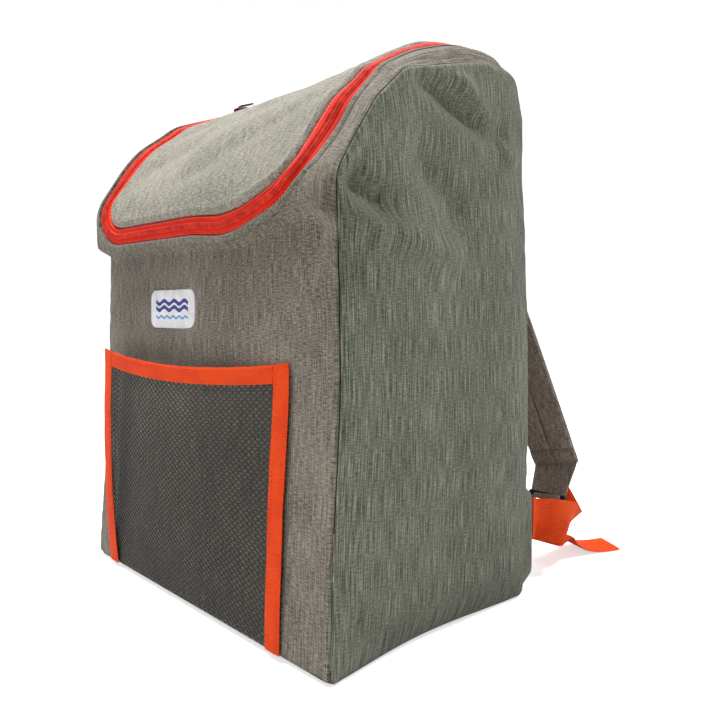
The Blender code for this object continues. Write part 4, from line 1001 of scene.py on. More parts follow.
    def side_grid(self, depth: float) -> Array:
        """A side panel's (y, z) grid: a patch between the profile's four runs, set in by depth."""
        profile, rows, columns = SKIN.profile, 130, 120
        runs = (
            profile.spaced(profile.base_front, profile.kink, rows),
            profile.spaced(profile.kink, profile.back_seam, columns),
            profile.spaced(profile.back_seam, profile.base_back, rows)[::-1],
            profile.spaced(profile.base_back, profile.base_end, columns)[::-1],
        )
        front, top, back, base = (
            profile.at(run)[0] - profile.at(run)[1] * (depth + self.seam_gap / 2) for run in runs
        )
        shares = [(run - run[0]) / (run[-1] - run[0]) for run in runs]
        u = ((shares[1] + shares[3]) / 2)[None, :, None]
        v = ((shares[0] + shares[2]) / 2)[:, None, None]
        return (
            (1 - u) * front[:, None] + u * back[:, None] + (1 - v) * base[None] + v * top[None]
            - (1 - u) * (1 - v) * base[0] - u * (1 - v) * base[-1]
            - (1 - u) * v * top[0] - u * v * top[-1]
        )

    def side(self, side: Side) -> None:
        """A side panel: pillowed, folded, its rim rounded over into the seams."""
        flat = self.side_grid(self.mitre)
        rim = np.concatenate([flat[0], flat[1:, -1], flat[-1, :-1], flat[1:-1, 0]])
        inset = np.min(np.linalg.norm(flat[:, :, None] - rim, axis=-1), axis=-1)
        y, z = flat[..., 0], flat[..., 1]
        folds = fold_relief(y + SKIN.back, z, SIDE_FOLDS, SKIN.depth, SKIN.front_height + SKIN.rise)
        relief = self.side_pillow * np.sin(np.clip(inset / self.side_pillow_run, 0, 1) * math.pi / 2)
        soft = self.softness(y, z, 51 + side.value) * 1.2
        relief = relief + (folds + soft) * smooth_steps(0.0, 0.016, inset)
        relief = relief - edge_drop(inset, self.seam_radius) + self.pucker(y * 1.3 + z, inset, 61)
        border = self.side_grid(self.mitre + self.hem_depth)
        mask = ring_mask((flat.shape[0] + 2, flat.shape[1] + 2))[..., None]
        both = ringed(flat) * (1 - mask) + ringed(border) * mask
        across = side.value * (SKIN.half + ringed(relief) - mask[..., 0] * self.hem_depth)
        points = SKIN.settle(np.stack([across, both[..., 0], both[..., 1]], -1))
        word = side.name.lower()
        work = Patchwork()
        work.grid(points, both)
        work.make(f"side_panel_{word}", (f"side_panel_{word}",), SIDE_CANVAS)

    def build(self) -> None:
        """Makes all six panels."""
        self.front()
        self.lid()
        self.back()
        self.base()
        for side in Side:
            self.side(side)


@dataclass
class ZipFastener:
    """The zip round the lid: hems, two tapes, the coil, the stitches, slider and pull."""

    tape_width: float = 0.0066
    tape_thickness: float = 0.0010
    tape_sink: float = 0.0018
    parting: float = 0.0005
    coil_width: float = 0.0046
    coil_height: float = 0.0020
    coil_pitch: float = 0.0015
    clearance: float = 0.0003
    stitch_pitch: float = 0.0026
    stitch_inset: float = 0.0016

    @property
    def middle(self) -> float:
        """Offset of the coil's middle from the zip's outer edge."""
        return self.tape_width + self.parting / 2

    @property
    def full(self) -> float:
        """Width of both tapes and the parting."""
        return 2 * self.tape_width + self.parting

    def line(self, offset: float, count: int) -> tuple[Array, Array]:
        """The U at an offset, evenly spaced, as (across, station), with its inward normals."""
        side, front = SKIN.opening - offset, SKIN.lip + offset
        radius = SKIN.zip_radius - offset
        turns = np.linspace(0.0, math.pi / 2, 60)
        arc = np.stack([side - radius + radius * np.cos(turns), front + radius - radius * np.sin(turns)], -1)
        arm = np.array([[side, SKIN.zip_end]])
        right = np.concatenate([arm, arc])
        path = resampled(np.concatenate([right * [-1.0, 1.0], right[::-1]]), count)
        along = unit(np.gradient(path, axis=0))
        return path, np.stack([-along[:, 1], along[:, 0]], -1)

    def surface(self, base: float, offsets: Array, heights: Array, count: int) -> tuple[Array, Array]:
        """Points of a strip along the zip.

        Args:
            base: offset of the line that the strip follows.
            offsets: offsets of the strip's rows from the zip's outer edge.
            heights: heights over the zip's level, one a row, or rows x count.
            count: points along the zip.

        Returns:
            Points, rows x count x 3, and cloth coordinates.
        """
        path, inward = self.line(base, count)
        offsets = np.asarray(offsets, float)[:, None]
        heights = np.asarray(heights, float)
        heights = heights[:, None] if heights.ndim == 1 else heights
        x = path[:, 0] + inward[:, 0] * (offsets - base)
        s = path[:, 1] + inward[:, 1] * (offsets - base)
        outer_x, outer_s = path[:, 0] - inward[:, 0] * base, path[:, 1] - inward[:, 1] * base
        share = np.clip(offsets / self.full, 0.0, 1.0)
        lift = (1 - share) * SKIN.band_lift(outer_s, outer_x) + share * SKIN.lid_lift(s, x)
        run = np.concatenate([[0.0], np.cumsum(np.linalg.norm(np.diff(path, axis=0), axis=1))])
        cloth = np.stack(np.broadcast_arrays(offsets, run[None, :]), -1)
        return SKIN.at(s, x, lift + heights), cloth

    def strip(self, work: Patchwork, base: float, offsets: Array, top: Array, bottom: Array,
              count: int) -> None:
        """Adds a closed strip between two levels."""
        upper, cloth = self.surface(base, offsets, top, count)
        lower, _ = self.surface(base, offsets, bottom, count)
        work.shell(upper, lower, cloth)

    def hem(self) -> None:
        """The folded edge of the front's fabric along the zip: a low roll over the tape."""
        section = ((-0.0052, 0.0000), (-0.0042, 0.0005), (-0.0030, 0.0009), (-0.0018, 0.0011),
                   (-0.0008, 0.0010), (-0.0001, 0.0004), (0.0002, -0.0008), (0.0002, -0.0030))
        offsets = np.array([row[0] for row in section])
        heights = np.array([row[1] for row in section])
        path, _ = self.line(0.0, 620)
        tucked = 1 - 0.75 * (path[:, 0] < 0) * smooth_steps(SKIN.lip + 0.004, SKIN.lip + 0.030, path[:, 1])
        heights = np.where(heights[:, None] > 0, heights[:, None] * tucked, heights[:, None])
        work = Patchwork()
        points, cloth = self.surface(0.0, offsets, heights, 620)
        work.grid(points, cloth[..., ::-1])
        work.make("zip_hem", (), FRONT_CANVAS)

    def tapes(self) -> None:
        """The two halves of the tape, each a thin strip, raised a little at the coil."""
        outer = np.linspace(self.clearance, self.tape_width, 9)
        inner = np.linspace(self.tape_width + self.parting, self.full - self.clearance, 9)
        for name, offsets in (("zip_tape_outer", outer), ("zip_tape_inner", inner)):
            away = np.abs(offsets - self.middle) / self.tape_width
            top = -self.tape_sink - 0.0004 + 0.0012 * np.sin(np.clip(away * 1.1 - 0.1, 0, 1) * math.pi)
            work = Patchwork()
            self.strip(work, 0.0, offsets, top, top - self.tape_thickness, 420)
            work.make(name, (name,), TAPE_FINISH, 50)

    def coil(self) -> None:
        """The closed coil: a bead whose height follows a cosine along it, half a pitch apart
        on its two sides, so that the teeth mesh in the middle."""
        path, _ = self.line(self.middle, 400)
        length = float(np.sum(np.linalg.norm(np.diff(path, axis=0), axis=1)))
        teeth = round(length / self.coil_pitch)
        count = teeth * 5 + 1
        u = np.linspace(-1.0, 1.0, 9)[:, None]
        run = np.linspace(0.0, length, count)[None, :]
        phase = 2 * math.pi * run / self.coil_pitch + math.pi * smooth_steps(-0.2, 0.2, u)
        body = np.sqrt(np.clip(1 - (0.92 * u) ** 2, 0, 1)) * (1 - 0.62 * np.exp(-((u / 0.22) ** 2)))
        height = self.coil_height * 1.15 * body * (0.74 + 0.26 * np.cos(phase))
        floor = -self.tape_sink + self.clearance + 0.0003
        offsets = self.middle + u[:, 0] * self.coil_width / 2
        work = Patchwork()
        upper, cloth = self.surface(self.middle, offsets, floor + height, count)
        lower, _ = self.surface(self.middle, offsets, np.full(9, floor - 0.0004), count)
        work.shell(upper, lower, cloth)
        work.make("zip_coil", ("zip_coil",), COIL_FINISH)

    def stitches(self) -> None:
        """Rows of sewing stitches: small ellipsoids laid along both tapes."""
        path, _ = self.line(self.middle, 400)
        length = float(np.sum(np.linalg.norm(np.diff(path, axis=0), axis=1)))
        count = round(length / self.stitch_pitch)
        ring, belt = np.meshgrid(np.linspace(0.0, 2 * math.pi, 6, endpoint=False), np.linspace(-1.0, 1.0, 5))
        girth = np.sqrt(1 - 0.92 * belt**2)
        shape = np.stack([belt * 0.00085, girth * np.cos(ring) * 0.00030, girth * np.sin(ring) * 0.00024], -1)
        quads = grid_quads(5, 6, closed=True)
        work = Patchwork()
        for offset in (self.stitch_inset, self.full - self.stitch_inset):
            pair = np.array([offset, offset + 0.0002])
            points = self.surface(self.middle, pair, [-self.tape_sink + 0.0003] * 2, count)[0]
            along = unit(np.gradient(points[0], axis=0))
            beside = unit(points[1] - points[0])
            up = unit(np.cross(along, beside))
            axes = np.stack([along, np.cross(up, along), up], -1)
            work.copies(shape.reshape(-1, 3), quads, points[0], axes)
        work.make("zip_stitches", (), STITCH_FINISH)

    def build(self) -> None:
        """Makes the zip and dresses the slider and its pull."""
        self.hem()
        self.tapes()
        self.coil()
        self.stitches()
        for name in ("zip_slider", "zip_pull"):
            dress(name, ENAMEL)


def dress(node: str, finish: Finish) -> None:
    """Gives a solid that stays shown as it is its own finish."""
    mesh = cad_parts[node].data
    mesh.materials.clear()
    mesh.materials.append(finish.material())


@dataclass
class MeshPocket:
    """The net pocket on the front, its bindings and their stitches."""

    top: float = 0.177
    sag: float = 0.008
    left_inset: float = 0.032
    right_inset: float = 0.044
    gape: float = 0.0135
    bulge: float = 0.0055
    net_thickness: float = 0.0010
    net_seat: float = 0.0004
    binding_thickness: float = 0.0011
    side_width: float = 0.013
    top_width: float = 0.010
    foot: float = 0.0045
    clearance: float = 0.0003
    cell_width: float = 0.0058
    cell_height: float = 0.0043
    thread: float = 0.00080

    @property
    def left(self) -> float:
        """Place across of the left edge."""
        return -SKIN.half + self.left_inset

    @property
    def width(self) -> float:
        """Width of the pocket."""
        return SKIN.half - self.right_inset - self.left

    @property
    def seat(self) -> float:
        """How far the bindings lie over the net's middle."""
        return self.net_thickness / 2 + self.clearance + self.binding_thickness / 2

    def height(self, share: Array) -> Array:
        """Height of the mouth at a share of the way across: it sags by a sine."""
        return self.top - self.sag * np.sin(math.pi * np.clip(share, 0, 1)) ** 0.8

    def point(self, share: Array, up: Array, extra: Array) -> Array:
        """A point of the pocket: share across, up from its foot, extra over the net's middle."""
        share, up, extra = np.broadcast_arrays(share, up, extra)
        level = np.clip(up, 0, 1)
        gape = self.gape * (1 - smooth_steps(0.0, 1.0, share)) * (1 - (1 - level) ** 2.1)
        bulge = self.bulge * np.sin(math.pi * np.clip(share, 0, 1)) * np.sin(math.pi / 2 * level) ** 0.8
        height = self.foot + (self.height(share) - self.foot) * up
        station = SKIN.profile.at_height(self.foot) + height - self.foot
        stand = self.net_seat + self.net_thickness / 2 + gape + bulge + extra
        return SKIN.at(station, self.left + self.width * share, stand)

    def gusset(self, share: Array, up: Array) -> Array:
        """A point of the net's left side: from the panel at share -1 out to the face at 0."""
        height = self.foot + (self.height(np.zeros(1))[0] - self.foot) * up
        station = SKIN.profile.at_height(self.foot) + height - self.foot
        root = SKIN.at(station, self.left - 0.0015, self.net_seat + self.net_thickness / 2)
        face = self.point(np.zeros_like(up), up, 0.0)
        bow = np.sin(math.pi * (share + 1))[..., None] * np.array([-0.0006, 0.0, 0.0])
        return root + (face - root) * (share + 1)[..., None] + bow

    def net(self) -> None:
        """The net as upright yarns that zigzag between their neighbours and touch them: each
        swings by a half cell, flattened where two meet, which leaves rhombic holes."""
        turns = np.array([-0.10, 0.10, 0.40, 0.60])
        swing = np.array([0.5, 0.5, -0.5, -0.5]) * 0.93
        tall = self.top - self.foot
        cells = int(tall / self.cell_height)
        level = (np.arange(cells)[:, None] + turns).reshape(-1) / cells
        level = np.clip(level, 0.0, 1.0)
        sway = np.tile(swing, cells)
        pitch = self.cell_width / 2
        work = Patchwork()
        bend = np.array([0.0, 2 * math.pi / 3, 4 * math.pi / 3])
        yarns = round(self.width / pitch)
        flip = np.where(np.arange(yarns) % 2 == 0, 1.0, -1.0)[:, None]
        share = ((np.arange(yarns)[:, None] + 0.5) + sway[None, :] * flip) / yarns
        wobble = 0.10 * cloth_noise(share * self.width, level * tall, 0.012, 71)
        face = self.point(share, np.broadcast_to(level * 0.985, share.shape) + wobble * 0.004, 0.0)
        sides = 5
        flip = np.where(np.arange(sides) % 2 == 0, -1.0, 1.0)[:, None]
        part = ((np.arange(sides)[:, None] + 0.5) + sway[None, :] * flip) / sides - 1.0
        turned = self.gusset(part, np.broadcast_to(level * 0.985, part.shape))
        for lines in (face, turned):
            along = unit(np.gradient(lines, axis=1))
            out = unit(np.cross(along, np.array([1.0, 0.0, 0.0])))
            beside = np.cross(out, along)
            ring = out[:, :, None] * np.cos(bend)[:, None] + beside[:, :, None] * np.sin(bend)[:, None]
            tube = lines[:, :, None] + ring * self.thread / 2
            rows = tube.shape[1]
            quads = grid_quads(rows, 3, closed=True)
            starts = np.arange(len(lines))[:, None, None] * rows * 3
            first = turned_out(tube[0].reshape(-1, 3), quads[:3], tube[0, :2].reshape(-1, 3).mean(axis=0))
            quads = quads if (first == quads[:3]).all() else quads[:, ::-1]
            work.add(tube, (quads[None] + starts).reshape(-1, 4), tube[..., [0, 2]])
        work.make("pocket_net", ("pocket_net",), NetYarn())

    def bindings(self) -> None:
        """The tapes round the net: a strip down each side and a folded one over the mouth."""
        side = self.side_width / self.width
        columns = np.linspace(0.0, 1.0, 13)
        thick = self.binding_thickness * (0.35 + 0.65 * (1 - np.abs(2 * columns - 1) ** 6))
        thick = thick * (1 - 0.30 * np.exp(-(((columns - 0.16) / 0.05) ** 2)))
        ups = np.linspace(0.0, 1.012, 120)
        for name, start, end, profile in (
            ("pocket_binding_left", -0.004, side, thick),
            ("pocket_binding_right", 1 - side, 1.004, thick[::-1]),
        ):
            share = start + (end - start) * columns
            tall = ups * (self.top - self.foot)
            bend = 0.0011 * cloth_noise(tall, 0 * tall, 0.038, 77 + int(end * 3)) / self.width
            points = self.point(share[None, :] + bend[:, None], ups[:, None], self.seat)
            wave = 0.00022 * cloth_noise(share[None, :] * self.width, tall[:, None], 0.014, 81)
            points = points + grid_normals(points) * wave[..., None]
            cloth = np.stack(np.broadcast_arrays(share[None, :] * self.width, tall[:, None]), -1)
            work = Patchwork()
            work.ribbon(points, profile[None, :], cloth)
            work.make(name, (name,), BINDING_FINISH, 60)
        self.mouth(side)
        self.stitches(side)

    def mouth(self, side: float) -> None:
        """The binding over the mouth: a section carried across, front, over the top, back."""
        tall = self.top - self.foot
        gap = 2 * self.clearance / self.width
        shares = np.linspace(side + gap, 1 - side - gap, 150)
        drop, over = self.top_width / tall, (self.seat + self.clearance) / tall
        section = np.array([
            (-drop, self.seat), (-drop * 0.5, self.seat), (over * 0.1, self.seat),
            (over * 0.72, self.seat * 0.72), (over, 0.0), (over * 0.72, -self.seat * 0.72),
            (over * 0.1, -self.seat), (-drop * 0.5, -self.seat), (-drop, -self.seat),
        ])
        section = spline_through(section * [tall, 1.0], 27) / [tall, 1.0]
        points = self.point(shares[None, :], 1 + section[:, :1], section[:, 1:])
        run = np.linspace(0.0, 1.0, 27)
        wave = 0.0002 * cloth_noise(shares[None, :] * self.width, run[:, None] * 0.02, 0.010, 83)
        points = points + grid_normals(points) * wave[..., None]
        cloth = np.stack(np.broadcast_arrays(run[:, None] * 0.022, shares[None, :] * self.width), -1)
        work = Patchwork()
        work.ribbon(points, self.binding_thickness * 0.7, cloth)
        work.make("pocket_binding_top", ("pocket_binding_top",), BINDING_FINISH, 60)

    def stitches(self, side: float) -> None:
        """A row of stitches along each binding, near its inner edge."""
        ring, belt = np.meshgrid(np.linspace(0.0, 2 * math.pi, 6, endpoint=False), np.linspace(-1.0, 1.0, 5))
        girth = np.sqrt(1 - 0.92 * belt**2)
        shape = np.stack([belt * 0.0010, girth * np.cos(ring) * 0.00026, girth * np.sin(ring) * 0.0002], -1)
        quads = grid_quads(5, 6, closed=True)
        work = Patchwork()
        height = self.seat + self.binding_thickness / 2
        ups, shares = np.linspace(0.01, 0.99, 58), np.linspace(side * 1.1, 1 - side * 1.1, 66)
        tall = self.top - self.foot
        rows = (
            self.point(np.full(58, side * 0.84), ups, height),
            self.point(np.full(58, 1 - side * 0.84), ups, height),
            self.point(shares, np.full(66, 1 - 0.0082 / tall), self.seat + self.binding_thickness * 0.36),
        )
        for line in rows:
            along = unit(np.gradient(line, axis=0))
            out = unit(np.cross(along, np.cross(np.array([0.0, -1.0, 0.0]), along)))
            work.copies(shape.reshape(-1, 3), quads, line, np.stack([along, np.cross(out, along), out], -1))
        work.make("pocket_stitches", (), BINDING_FINISH)

    def build(self) -> None:
        """Makes the net and its bindings."""
        self.net()
        self.bindings()


@dataclass
class Patch:
    """The plain patch on the upper front."""

    width: float = 0.065
    height: float = 0.029
    corner: float = 0.007
    thickness: float = 0.0012
    across: float = -0.036
    up: float = 0.2115
    clearance: float = 0.0003

    def build(self) -> None:
        """A rounded plate: its outline drawn in by rings, with a soft bevel at its rim."""
        turns = np.linspace(0.0, 2 * math.pi, 96, endpoint=False) + math.pi / 96
        corner = np.stack([np.cos(turns), np.sin(turns)], -1)
        centre = np.sign(corner) * (np.array([self.width, self.height]) / 2 - self.corner)
        outline = centre + corner * self.corner
        rings = ((0.0, 0.0), (0.0, 0.55), (0.00025, 0.88), (0.0007, 1.0), (0.004, 1.0), (0.008, 1.02))
        rows, heights = [], []
        for inset, rise in rings:
            shrunk = centre * (1 - max(0.0, inset - self.corner) / 0.02)
            rows.append(shrunk + corner * max(0.0, self.corner - inset))
            heights.append(rise)
        rows.append(np.zeros_like(outline))
        heights.append(1.03)
        flat = np.array(rows)
        lift = self.clearance + self.thickness * np.array(heights)[:, None]
        station = SKIN.profile.at_height(self.up) + flat[..., 1]
        points = SKIN.at(station, self.across + flat[..., 0], np.broadcast_to(lift, flat.shape[:2]))
        flat_points = points.reshape(-1, 3)
        quads = grid_quads(points.shape[0], points.shape[1], closed=True)
        work = Patchwork()
        work.add(flat_points, turned_out(flat_points, quads, Patchwork.middle), flat)
        work.make("front_patch", ("front_patch",), PatchVinyl(), 60)


@dataclass
class ShoulderStraps:
    """The padded straps, their tabs, the adjusters, the webbing and its anchor wings."""

    strap_width: float = 0.045
    strap_thickness: float = 0.006
    bow: float = 0.080
    top: float = 0.335
    joint: float = 0.082
    tab_length: float = 0.026
    tab_width: float = 0.042
    tab_end: float = 0.031
    tab_thickness: float = 0.0028
    tab_wrap: float = 0.0055
    tab_lean: float = math.radians(27)
    buckle_length: float = 0.022
    buckle_thickness: float = 0.0035
    webbing_width: float = 0.032
    webbing_thickness: float = 0.0015
    loop_reach: float = 0.085
    loop_inset: float = 0.040
    loop_top: float = 0.070
    tail_reach: float = 0.154
    wing_reach: float = 0.015
    wing_base: float = 0.005
    wing_top: float = 0.080
    wing_thickness: float = 0.004
    wing_inset: float = 0.0035
    back_pillow: float = 0.003
    clearance: float = 0.0003

    def line(self, side: Side, count: int) -> Array:
        """Centre line of a strap, from its anchor on the back to the joint."""
        drop = self.top - self.joint
        route = np.array([
            (side.value * across * SKIN.half, SKIN.back + self.back_pillow + behind * self.bow,
             self.joint + height * drop) for _, across, behind, height in STRAP_ROUTE
        ])
        route[0, 1] = SKIN.back + self.back_pillow + self.strap_thickness / 2 + self.clearance
        return spline_through(route, count)

    def strap(self, side: Side) -> None:
        """The strap: a padded section carried along its line, pinched by a groove down its
        middle, by its two edge seams and by the stitched band at its foot."""
        rows, columns = 150, 41
        line = self.line(side, rows)
        along = unit(np.gradient(line, axis=0))
        axis = np.array([1.0, 0.0, 0.0]) - along * along[:, :1]
        axis = unit(axis)
        out = np.cross(axis, along)
        u = np.linspace(-1.0, 1.0, columns)
        u = np.sign(u) * np.abs(u) ** 0.85
        section = (1 - np.abs(u) ** 7) ** 0.5 * 0.92 + 0.16
        middle_seam = 1 - 0.80 * np.exp(-((u / 0.06) ** 2))
        edge_seams = 1 - 0.28 * np.exp(-(((np.abs(u) - 0.84) / 0.04) ** 2))
        section = section * middle_seam * edge_seams
        run = np.concatenate([[0.0], np.cumsum(np.linalg.norm(np.diff(line, axis=0), axis=1))])
        left = run[-1] - run
        seam = np.exp(-((left - 0.0035) / 0.0011) ** 2) + np.exp(-((left - 0.0130) / 0.0011) ** 2)
        ends = np.clip(np.minimum(run, left) / 0.0025, 0.25, 1.0)
        thick = self.strap_thickness * section[None, :] * (ends * (1 - 0.60 * seam))[:, None]
        thick = thick * (1 + 0.05 * cloth_noise(u[None, :] * 0.02, run[:, None], 0.016, 91 + side.value))
        middle = line[:, None, :] + axis[:, None, :] * (self.strap_width / 2 * u)[None, :, None]
        step = out[:, None, :] * (np.minimum(thick, self.strap_thickness * 1.04) / 2)[..., None]
        cloth = np.stack(np.broadcast_arrays(u[None, :] * self.strap_width / 2, run[:, None]), -1)
        word = side.name.lower()
        work = Patchwork()
        work.shell(middle + step, middle - step, cloth)
        name = f"shoulder_strap_{word}"
        piece = work.make(name, (name,), STRAP_CANVAS, 70)

    def frame(self, side: Side) -> tuple[Array, Array, Array, Array]:
        """Where the strap ends: the spot, and the axes down the tab, across it and out."""
        down = np.array([0.0, -math.sin(self.tab_lean), -math.cos(self.tab_lean)])
        across = np.array([1.0, 0.0, 0.0])
        return self.line(side, 18)[-1], down, across, np.cross(across, down)

    def tab(self, side: Side) -> None:
        """The flat tab from the strap's end, narrowing down to the adjuster."""
        start, down, across, _ = self.frame(side)
        line = self.line(side, 18)
        along = unit(line[-1] - line[-2])
        first = unit(across - along * (across @ along))
        reach = self.tab_length + self.tab_wrap
        bend = np.array([start - along * 0.007, start - along * 0.002, start + down * 0.003,
                         start + down * reach * 0.5, start + down * reach])
        centre = spline_through(bend, 40)
        lengths = np.linspace(-0.007, reach, 40)[:, None]
        share = np.clip(lengths / reach, 0.0, 1.0)
        u = np.linspace(-0.5, 0.5, 23)
        axes = first * (1 - share) * self.tab_width + across * share * self.tab_end
        points = centre[:, None, :] + axes[:, None, :] * u[None, :, None]
        folded = self.tab_thickness * (1 + 0.6 * smooth_steps(0.82, 0.92, share))
        rounded = 0.3 + 0.7 * (1 - np.abs(2 * u) ** 8)
        seams = 1 - 0.3 * np.exp(-(((np.abs(u) - 0.42) / 0.02) ** 2))
        thick = folded * rounded * seams
        widths = np.linalg.norm(axes, axis=1)[:, None]
        cloth = np.stack(np.broadcast_arrays(u[None, :] * widths, lengths), -1)
        word = side.name.lower()
        work = Patchwork()
        work.ribbon(points, thick, cloth)
        work.make(f"strap_tab_{word}", (f"strap_tab_{word}",), STRAP_CANVAS, 60)

    def webbing(self, name: str, edges: tuple[Array, Array]) -> None:
        """A length of webbing between its two edge lines, thinner at both selvedges."""
        low, high = edges
        share = np.linspace(0.0, 1.0, 17)
        points = low[:, None, :] * (1 - share)[None, :, None] + high[:, None, :] * share[None, :, None]
        thick = self.webbing_thickness * (0.45 + 0.55 * (1 - np.abs(2 * share - 1) ** 10))
        run = np.concatenate([[0.0], np.cumsum(np.linalg.norm(np.diff((low + high) / 2, axis=0), axis=1))])
        cloth = np.stack(np.broadcast_arrays(share[None, :] * self.webbing_width, run[:, None]), -1)
        work = Patchwork()
        work.ribbon(points, thick[None, :], cloth)
        work.make(name, (name,), WEBBING_FINISH, 60)

    def loop(self, side: Side) -> None:
        """The webbing from the wing round to the adjuster, standing on its edge."""
        tip = self.wing_reach + self.clearance
        start, down, across, out = self.frame(side)
        bar = start + down * (self.tab_length + self.clearance + self.buckle_length / 2)
        bar = bar + out * (self.buckle_thickness / 2 + self.webbing_thickness / 4 + self.clearance)
        edges = []
        for column, end in ((1, -0.5), (4, 0.5)):
            route = [
                (side.value * (SKIN.half - row[column] * self.loop_inset),
                 SKIN.back + tip + row[column + 1] * (self.loop_reach - tip), row[column + 2] * self.loop_top)
                for row in LOOP_SECTIONS
            ]
            route.append(bar + across * side.value * end * self.webbing_width)
            edges.append(spline_through(np.array(route), 150))
        self.webbing(f"webbing_loop_{side.name.lower()}", (edges[0], edges[1]))

    def tail(self, side: Side) -> None:
        """The loose end of the webbing, from the adjuster down to the ground and along it."""
        start, down, _, _ = self.frame(side)
        first = start + down * (self.tab_length + self.buckle_length + 3 * self.clearance)
        rows = np.array(
            [(SKIN.half - side.value * first[0], first[1] - SKIN.back, first[2], 0.0)]
            + [(i * self.loop_inset, b * self.tail_reach, h * self.loop_top, math.radians(t))
               for _, i, b, h, t in TAIL_SECTIONS]
        )
        rows = spline_through(rows, 110)
        line = np.stack([side.value * (SKIN.half - rows[:, 0]), SKIN.back + rows[:, 1], rows[:, 2]], -1)
        turned = np.stack([-side.value * np.cos(rows[:, 3]), np.sin(rows[:, 3]), np.zeros(len(rows))], -1)
        low, high = line - turned * self.webbing_width / 2, line + turned * self.webbing_width / 2
        for edge in (low, high):
            edge[:, 2] = np.maximum(edge[:, 2], self.webbing_thickness / 2 + self.clearance)
        self.webbing(f"webbing_tail_{side.name.lower()}", (low, high))

    def wing(self, side: Side) -> None:
        """The fabric wing at the foot of the back edge that holds the webbing."""
        root, tip = SKIN.back + self.back_pillow * 0.45, SKIN.back + self.wing_reach
        slant = (self.wing_top - self.wing_base) * 0.17
        out = np.linspace(0.0, 1.0, 14)
        y = root + (tip - root) * out
        taper = np.interp(y, [root, tip - 0.003, tip], [0.0, 0.5, 1.0]) * slant
        up = np.linspace(0.0, 1.0, 34)[:, None]
        z = self.wing_base + taper + (self.wing_top - self.wing_base - 2 * taper) * up
        x = side.value * (SKIN.half - self.wing_inset - self.wing_thickness / 2)
        middle = np.stack(np.broadcast_arrays(x, y[None, :], z), -1)
        edge = np.minimum(np.minimum(up, 1 - up) * 25, (1 - out[None, :]) * 6)
        thick = self.wing_thickness * (0.35 + 0.65 * np.sin(np.clip(edge, 0, 1) * math.pi / 2))
        step = np.zeros_like(middle)
        step[..., 0] = thick / 2
        work = Patchwork()
        work.shell(SKIN.settle(middle + step), SKIN.settle(middle - step), middle[..., 1:])
        name = f"anchor_wing_{side.name.lower()}"
        work.make(name, (name,), SIDE_CANVAS, 60)

    def build(self) -> None:
        """Makes both straps and everything that hangs on them."""
        for side in Side:
            self.strap(side)
            self.tab(side)
            self.loop(side)
            self.tail(side)
            self.wing(side)
            dress(f"strap_buckle_{side.name.lower()}", PLASTIC)


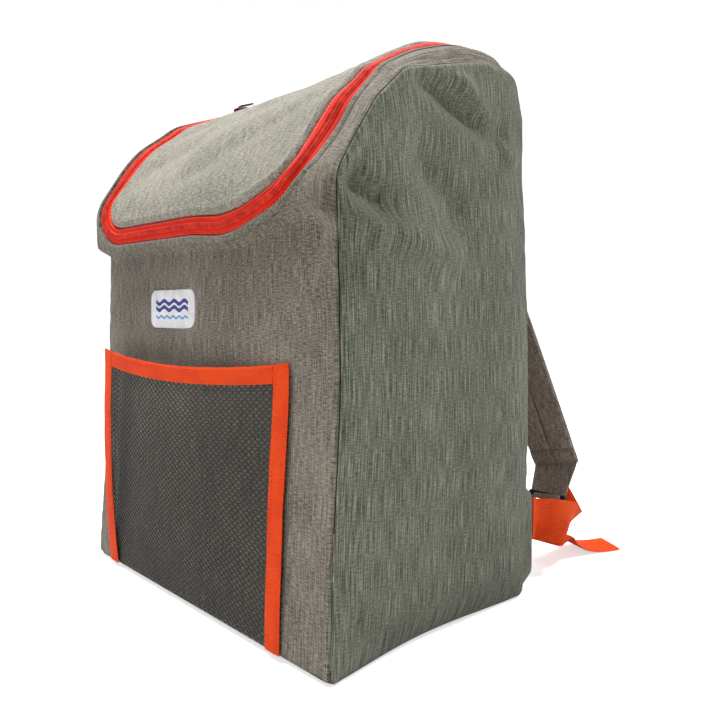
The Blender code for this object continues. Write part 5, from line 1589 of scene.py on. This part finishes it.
@dataclass
class Studio:
    """Camera, soft lights and a white floor."""

    place: tuple[float, float, float] = (0.46446, -0.36158, 0.21068)
    right: tuple[float, float, float] = (0.6763, 0.7366, 0.0)
    lens: float = 36.5
    shift_up: float = -0.0694
    aim_height: float = 0.2
    fill: float = 0.16
    floor_glow: float = 0.62
    floor_sides: int = 48
    softboxes: tuple = (
        # name, place (m), size (m), power (W)
        ("top", (-0.4, -0.3, 1.8), 0.7, 36.0),
        ("front left", (-1.1, -1.5, 0.9), 0.8, 3.6),
        ("right", (0.7, 0.7, 1.4), 0.20, 11.0),
    )
    floor_rings: tuple = (
        # radius (m), height (m)
        (0.0, 0.0), (0.5, 0.0), (1.0, 0.0), (1.6, 0.0), (2.2, 0.05), (2.6, 0.22), (2.9, 0.55),
        (3.0, 1.0), (3.0, 3.5),
    )

    def camera(self) -> None:
        """The photo's point of view: level, a little right of the near corner."""
        data = bpy.data.cameras.new("camera")
        data.lens, data.sensor_width, data.shift_y = self.lens, 36.0, self.shift_up
        data.clip_start, data.clip_end = 0.01, 50.0
        back = (self.right[1], -self.right[0], 0.0)
        axes = zip(self.right, (0.0, 0.0, 1.0), back, self.place)
        camera = bpy.data.objects.new("camera", data)
        camera.matrix_world = Matrix([*(tuple(row) for row in axes), (0.0, 0.0, 0.0, 1.0)])
        bpy.context.scene.collection.objects.link(camera)
        bpy.context.scene.camera = camera

    def softbox(self, name: str, place: tuple[float, float, float], size: float, power: float) -> None:
        """A square white area light that faces the bag."""
        data = bpy.data.lights.new(name, "AREA")
        data.size, data.energy = size, power
        lamp = bpy.data.objects.new(name, data)
        lamp.location = place
        aim = unit(np.array([0.0, 0.0, self.aim_height]) - np.array(place))
        lamp.rotation_mode = "QUATERNION"
        lamp.rotation_quaternion = Vector(aim).to_track_quat("-Z", "Y")
        bpy.context.scene.collection.objects.link(lamp)

    def floor(self) -> None:
        """A round sheet of white paper whose rim is drawn up, seen bright by the camera alone."""
        mesh = bpy.data.meshes.new("floor")
        turns = np.linspace(0.0, 2 * math.pi, self.floor_sides, endpoint=False)
        ring = np.stack([np.cos(turns), np.sin(turns)], -1)
        radii, rises = np.array(self.floor_rings).T[:, :, None, None]
        rows, columns = len(self.floor_rings), self.floor_sides
        points = np.concatenate([radii * ring, np.broadcast_to(rises, (rows, columns, 1))], -1)
        quads = grid_quads(rows, columns, closed=True)[:, ::-1]
        mesh.from_pydata(points.reshape(-1, 3).tolist(), [], quads.tolist())
        mesh.shade_smooth()
        material, tree, shader = new_material("pale paper")
        place = add_node(tree, "TexCoord").outputs["Object"]
        fibre = add_node(tree, "TexNoise", {"Vector": place, "Scale": 400.0, "Detail": 2.0})
        paper = ramp(tree, fibre.outputs["Fac"], [(0.3, "#F1F1F1"), (0.7, "#F6F6F6")])
        tree.links.new(paper, shader.inputs["Base Color"])
        shader.inputs["Roughness"].default_value = 0.95
        shader.inputs["Emission Color"].default_value = (1.0, 1.0, 1.0, 1.0)
        seen = add_node(tree, "LightPath").outputs["Is Camera Ray"]
        glow = add_node(tree, "Math", {0: seen, 1: self.floor_glow}, operation="MULTIPLY").outputs[0]
        tree.links.new(glow, shader.inputs["Emission Strength"])
        mesh.materials.append(material)
        floor = bpy.data.objects.new("floor", mesh)
        bpy.context.scene.collection.objects.link(floor)

    def world(self) -> None:
        """White behind the bag, and an even dim light from all round."""
        world = bpy.data.worlds.new("studio")
        world.use_nodes = True
        tree = world.node_tree
        background = tree.nodes["Background"]
        background.inputs["Color"].default_value = (1.0, 1.0, 1.0, 1.0)
        background.inputs["Strength"].default_value = self.fill
        backdrop = add_node(tree, "Background", {"Color": (1.0, 1.0, 1.0, 1.0), "Strength": 1.0})
        seen = add_node(tree, "LightPath").outputs["Is Camera Ray"]
        mixed = add_node(tree, "MixShader", {0: seen, 1: background.outputs[0], 2: backdrop.outputs[0]})
        tree.links.new(mixed.outputs[0], tree.nodes["World Output"].inputs["Surface"])
        bpy.context.scene.world = world

    def build(self) -> None:
        """Sets up the studio."""
        bpy.context.scene.view_settings.view_transform = "Standard"
        self.camera()
        self.world()
        self.floor()
        for box in self.softboxes:
            self.softbox(*box)


def main() -> None:
    """Builds every piece."""
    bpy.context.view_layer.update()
    Panels().build()
    ZipFastener().build()
    MeshPocket().build()
    Patch().build()
    ShoulderStraps().build()
    Studio().build()


if __name__ == "__main__":
    main()
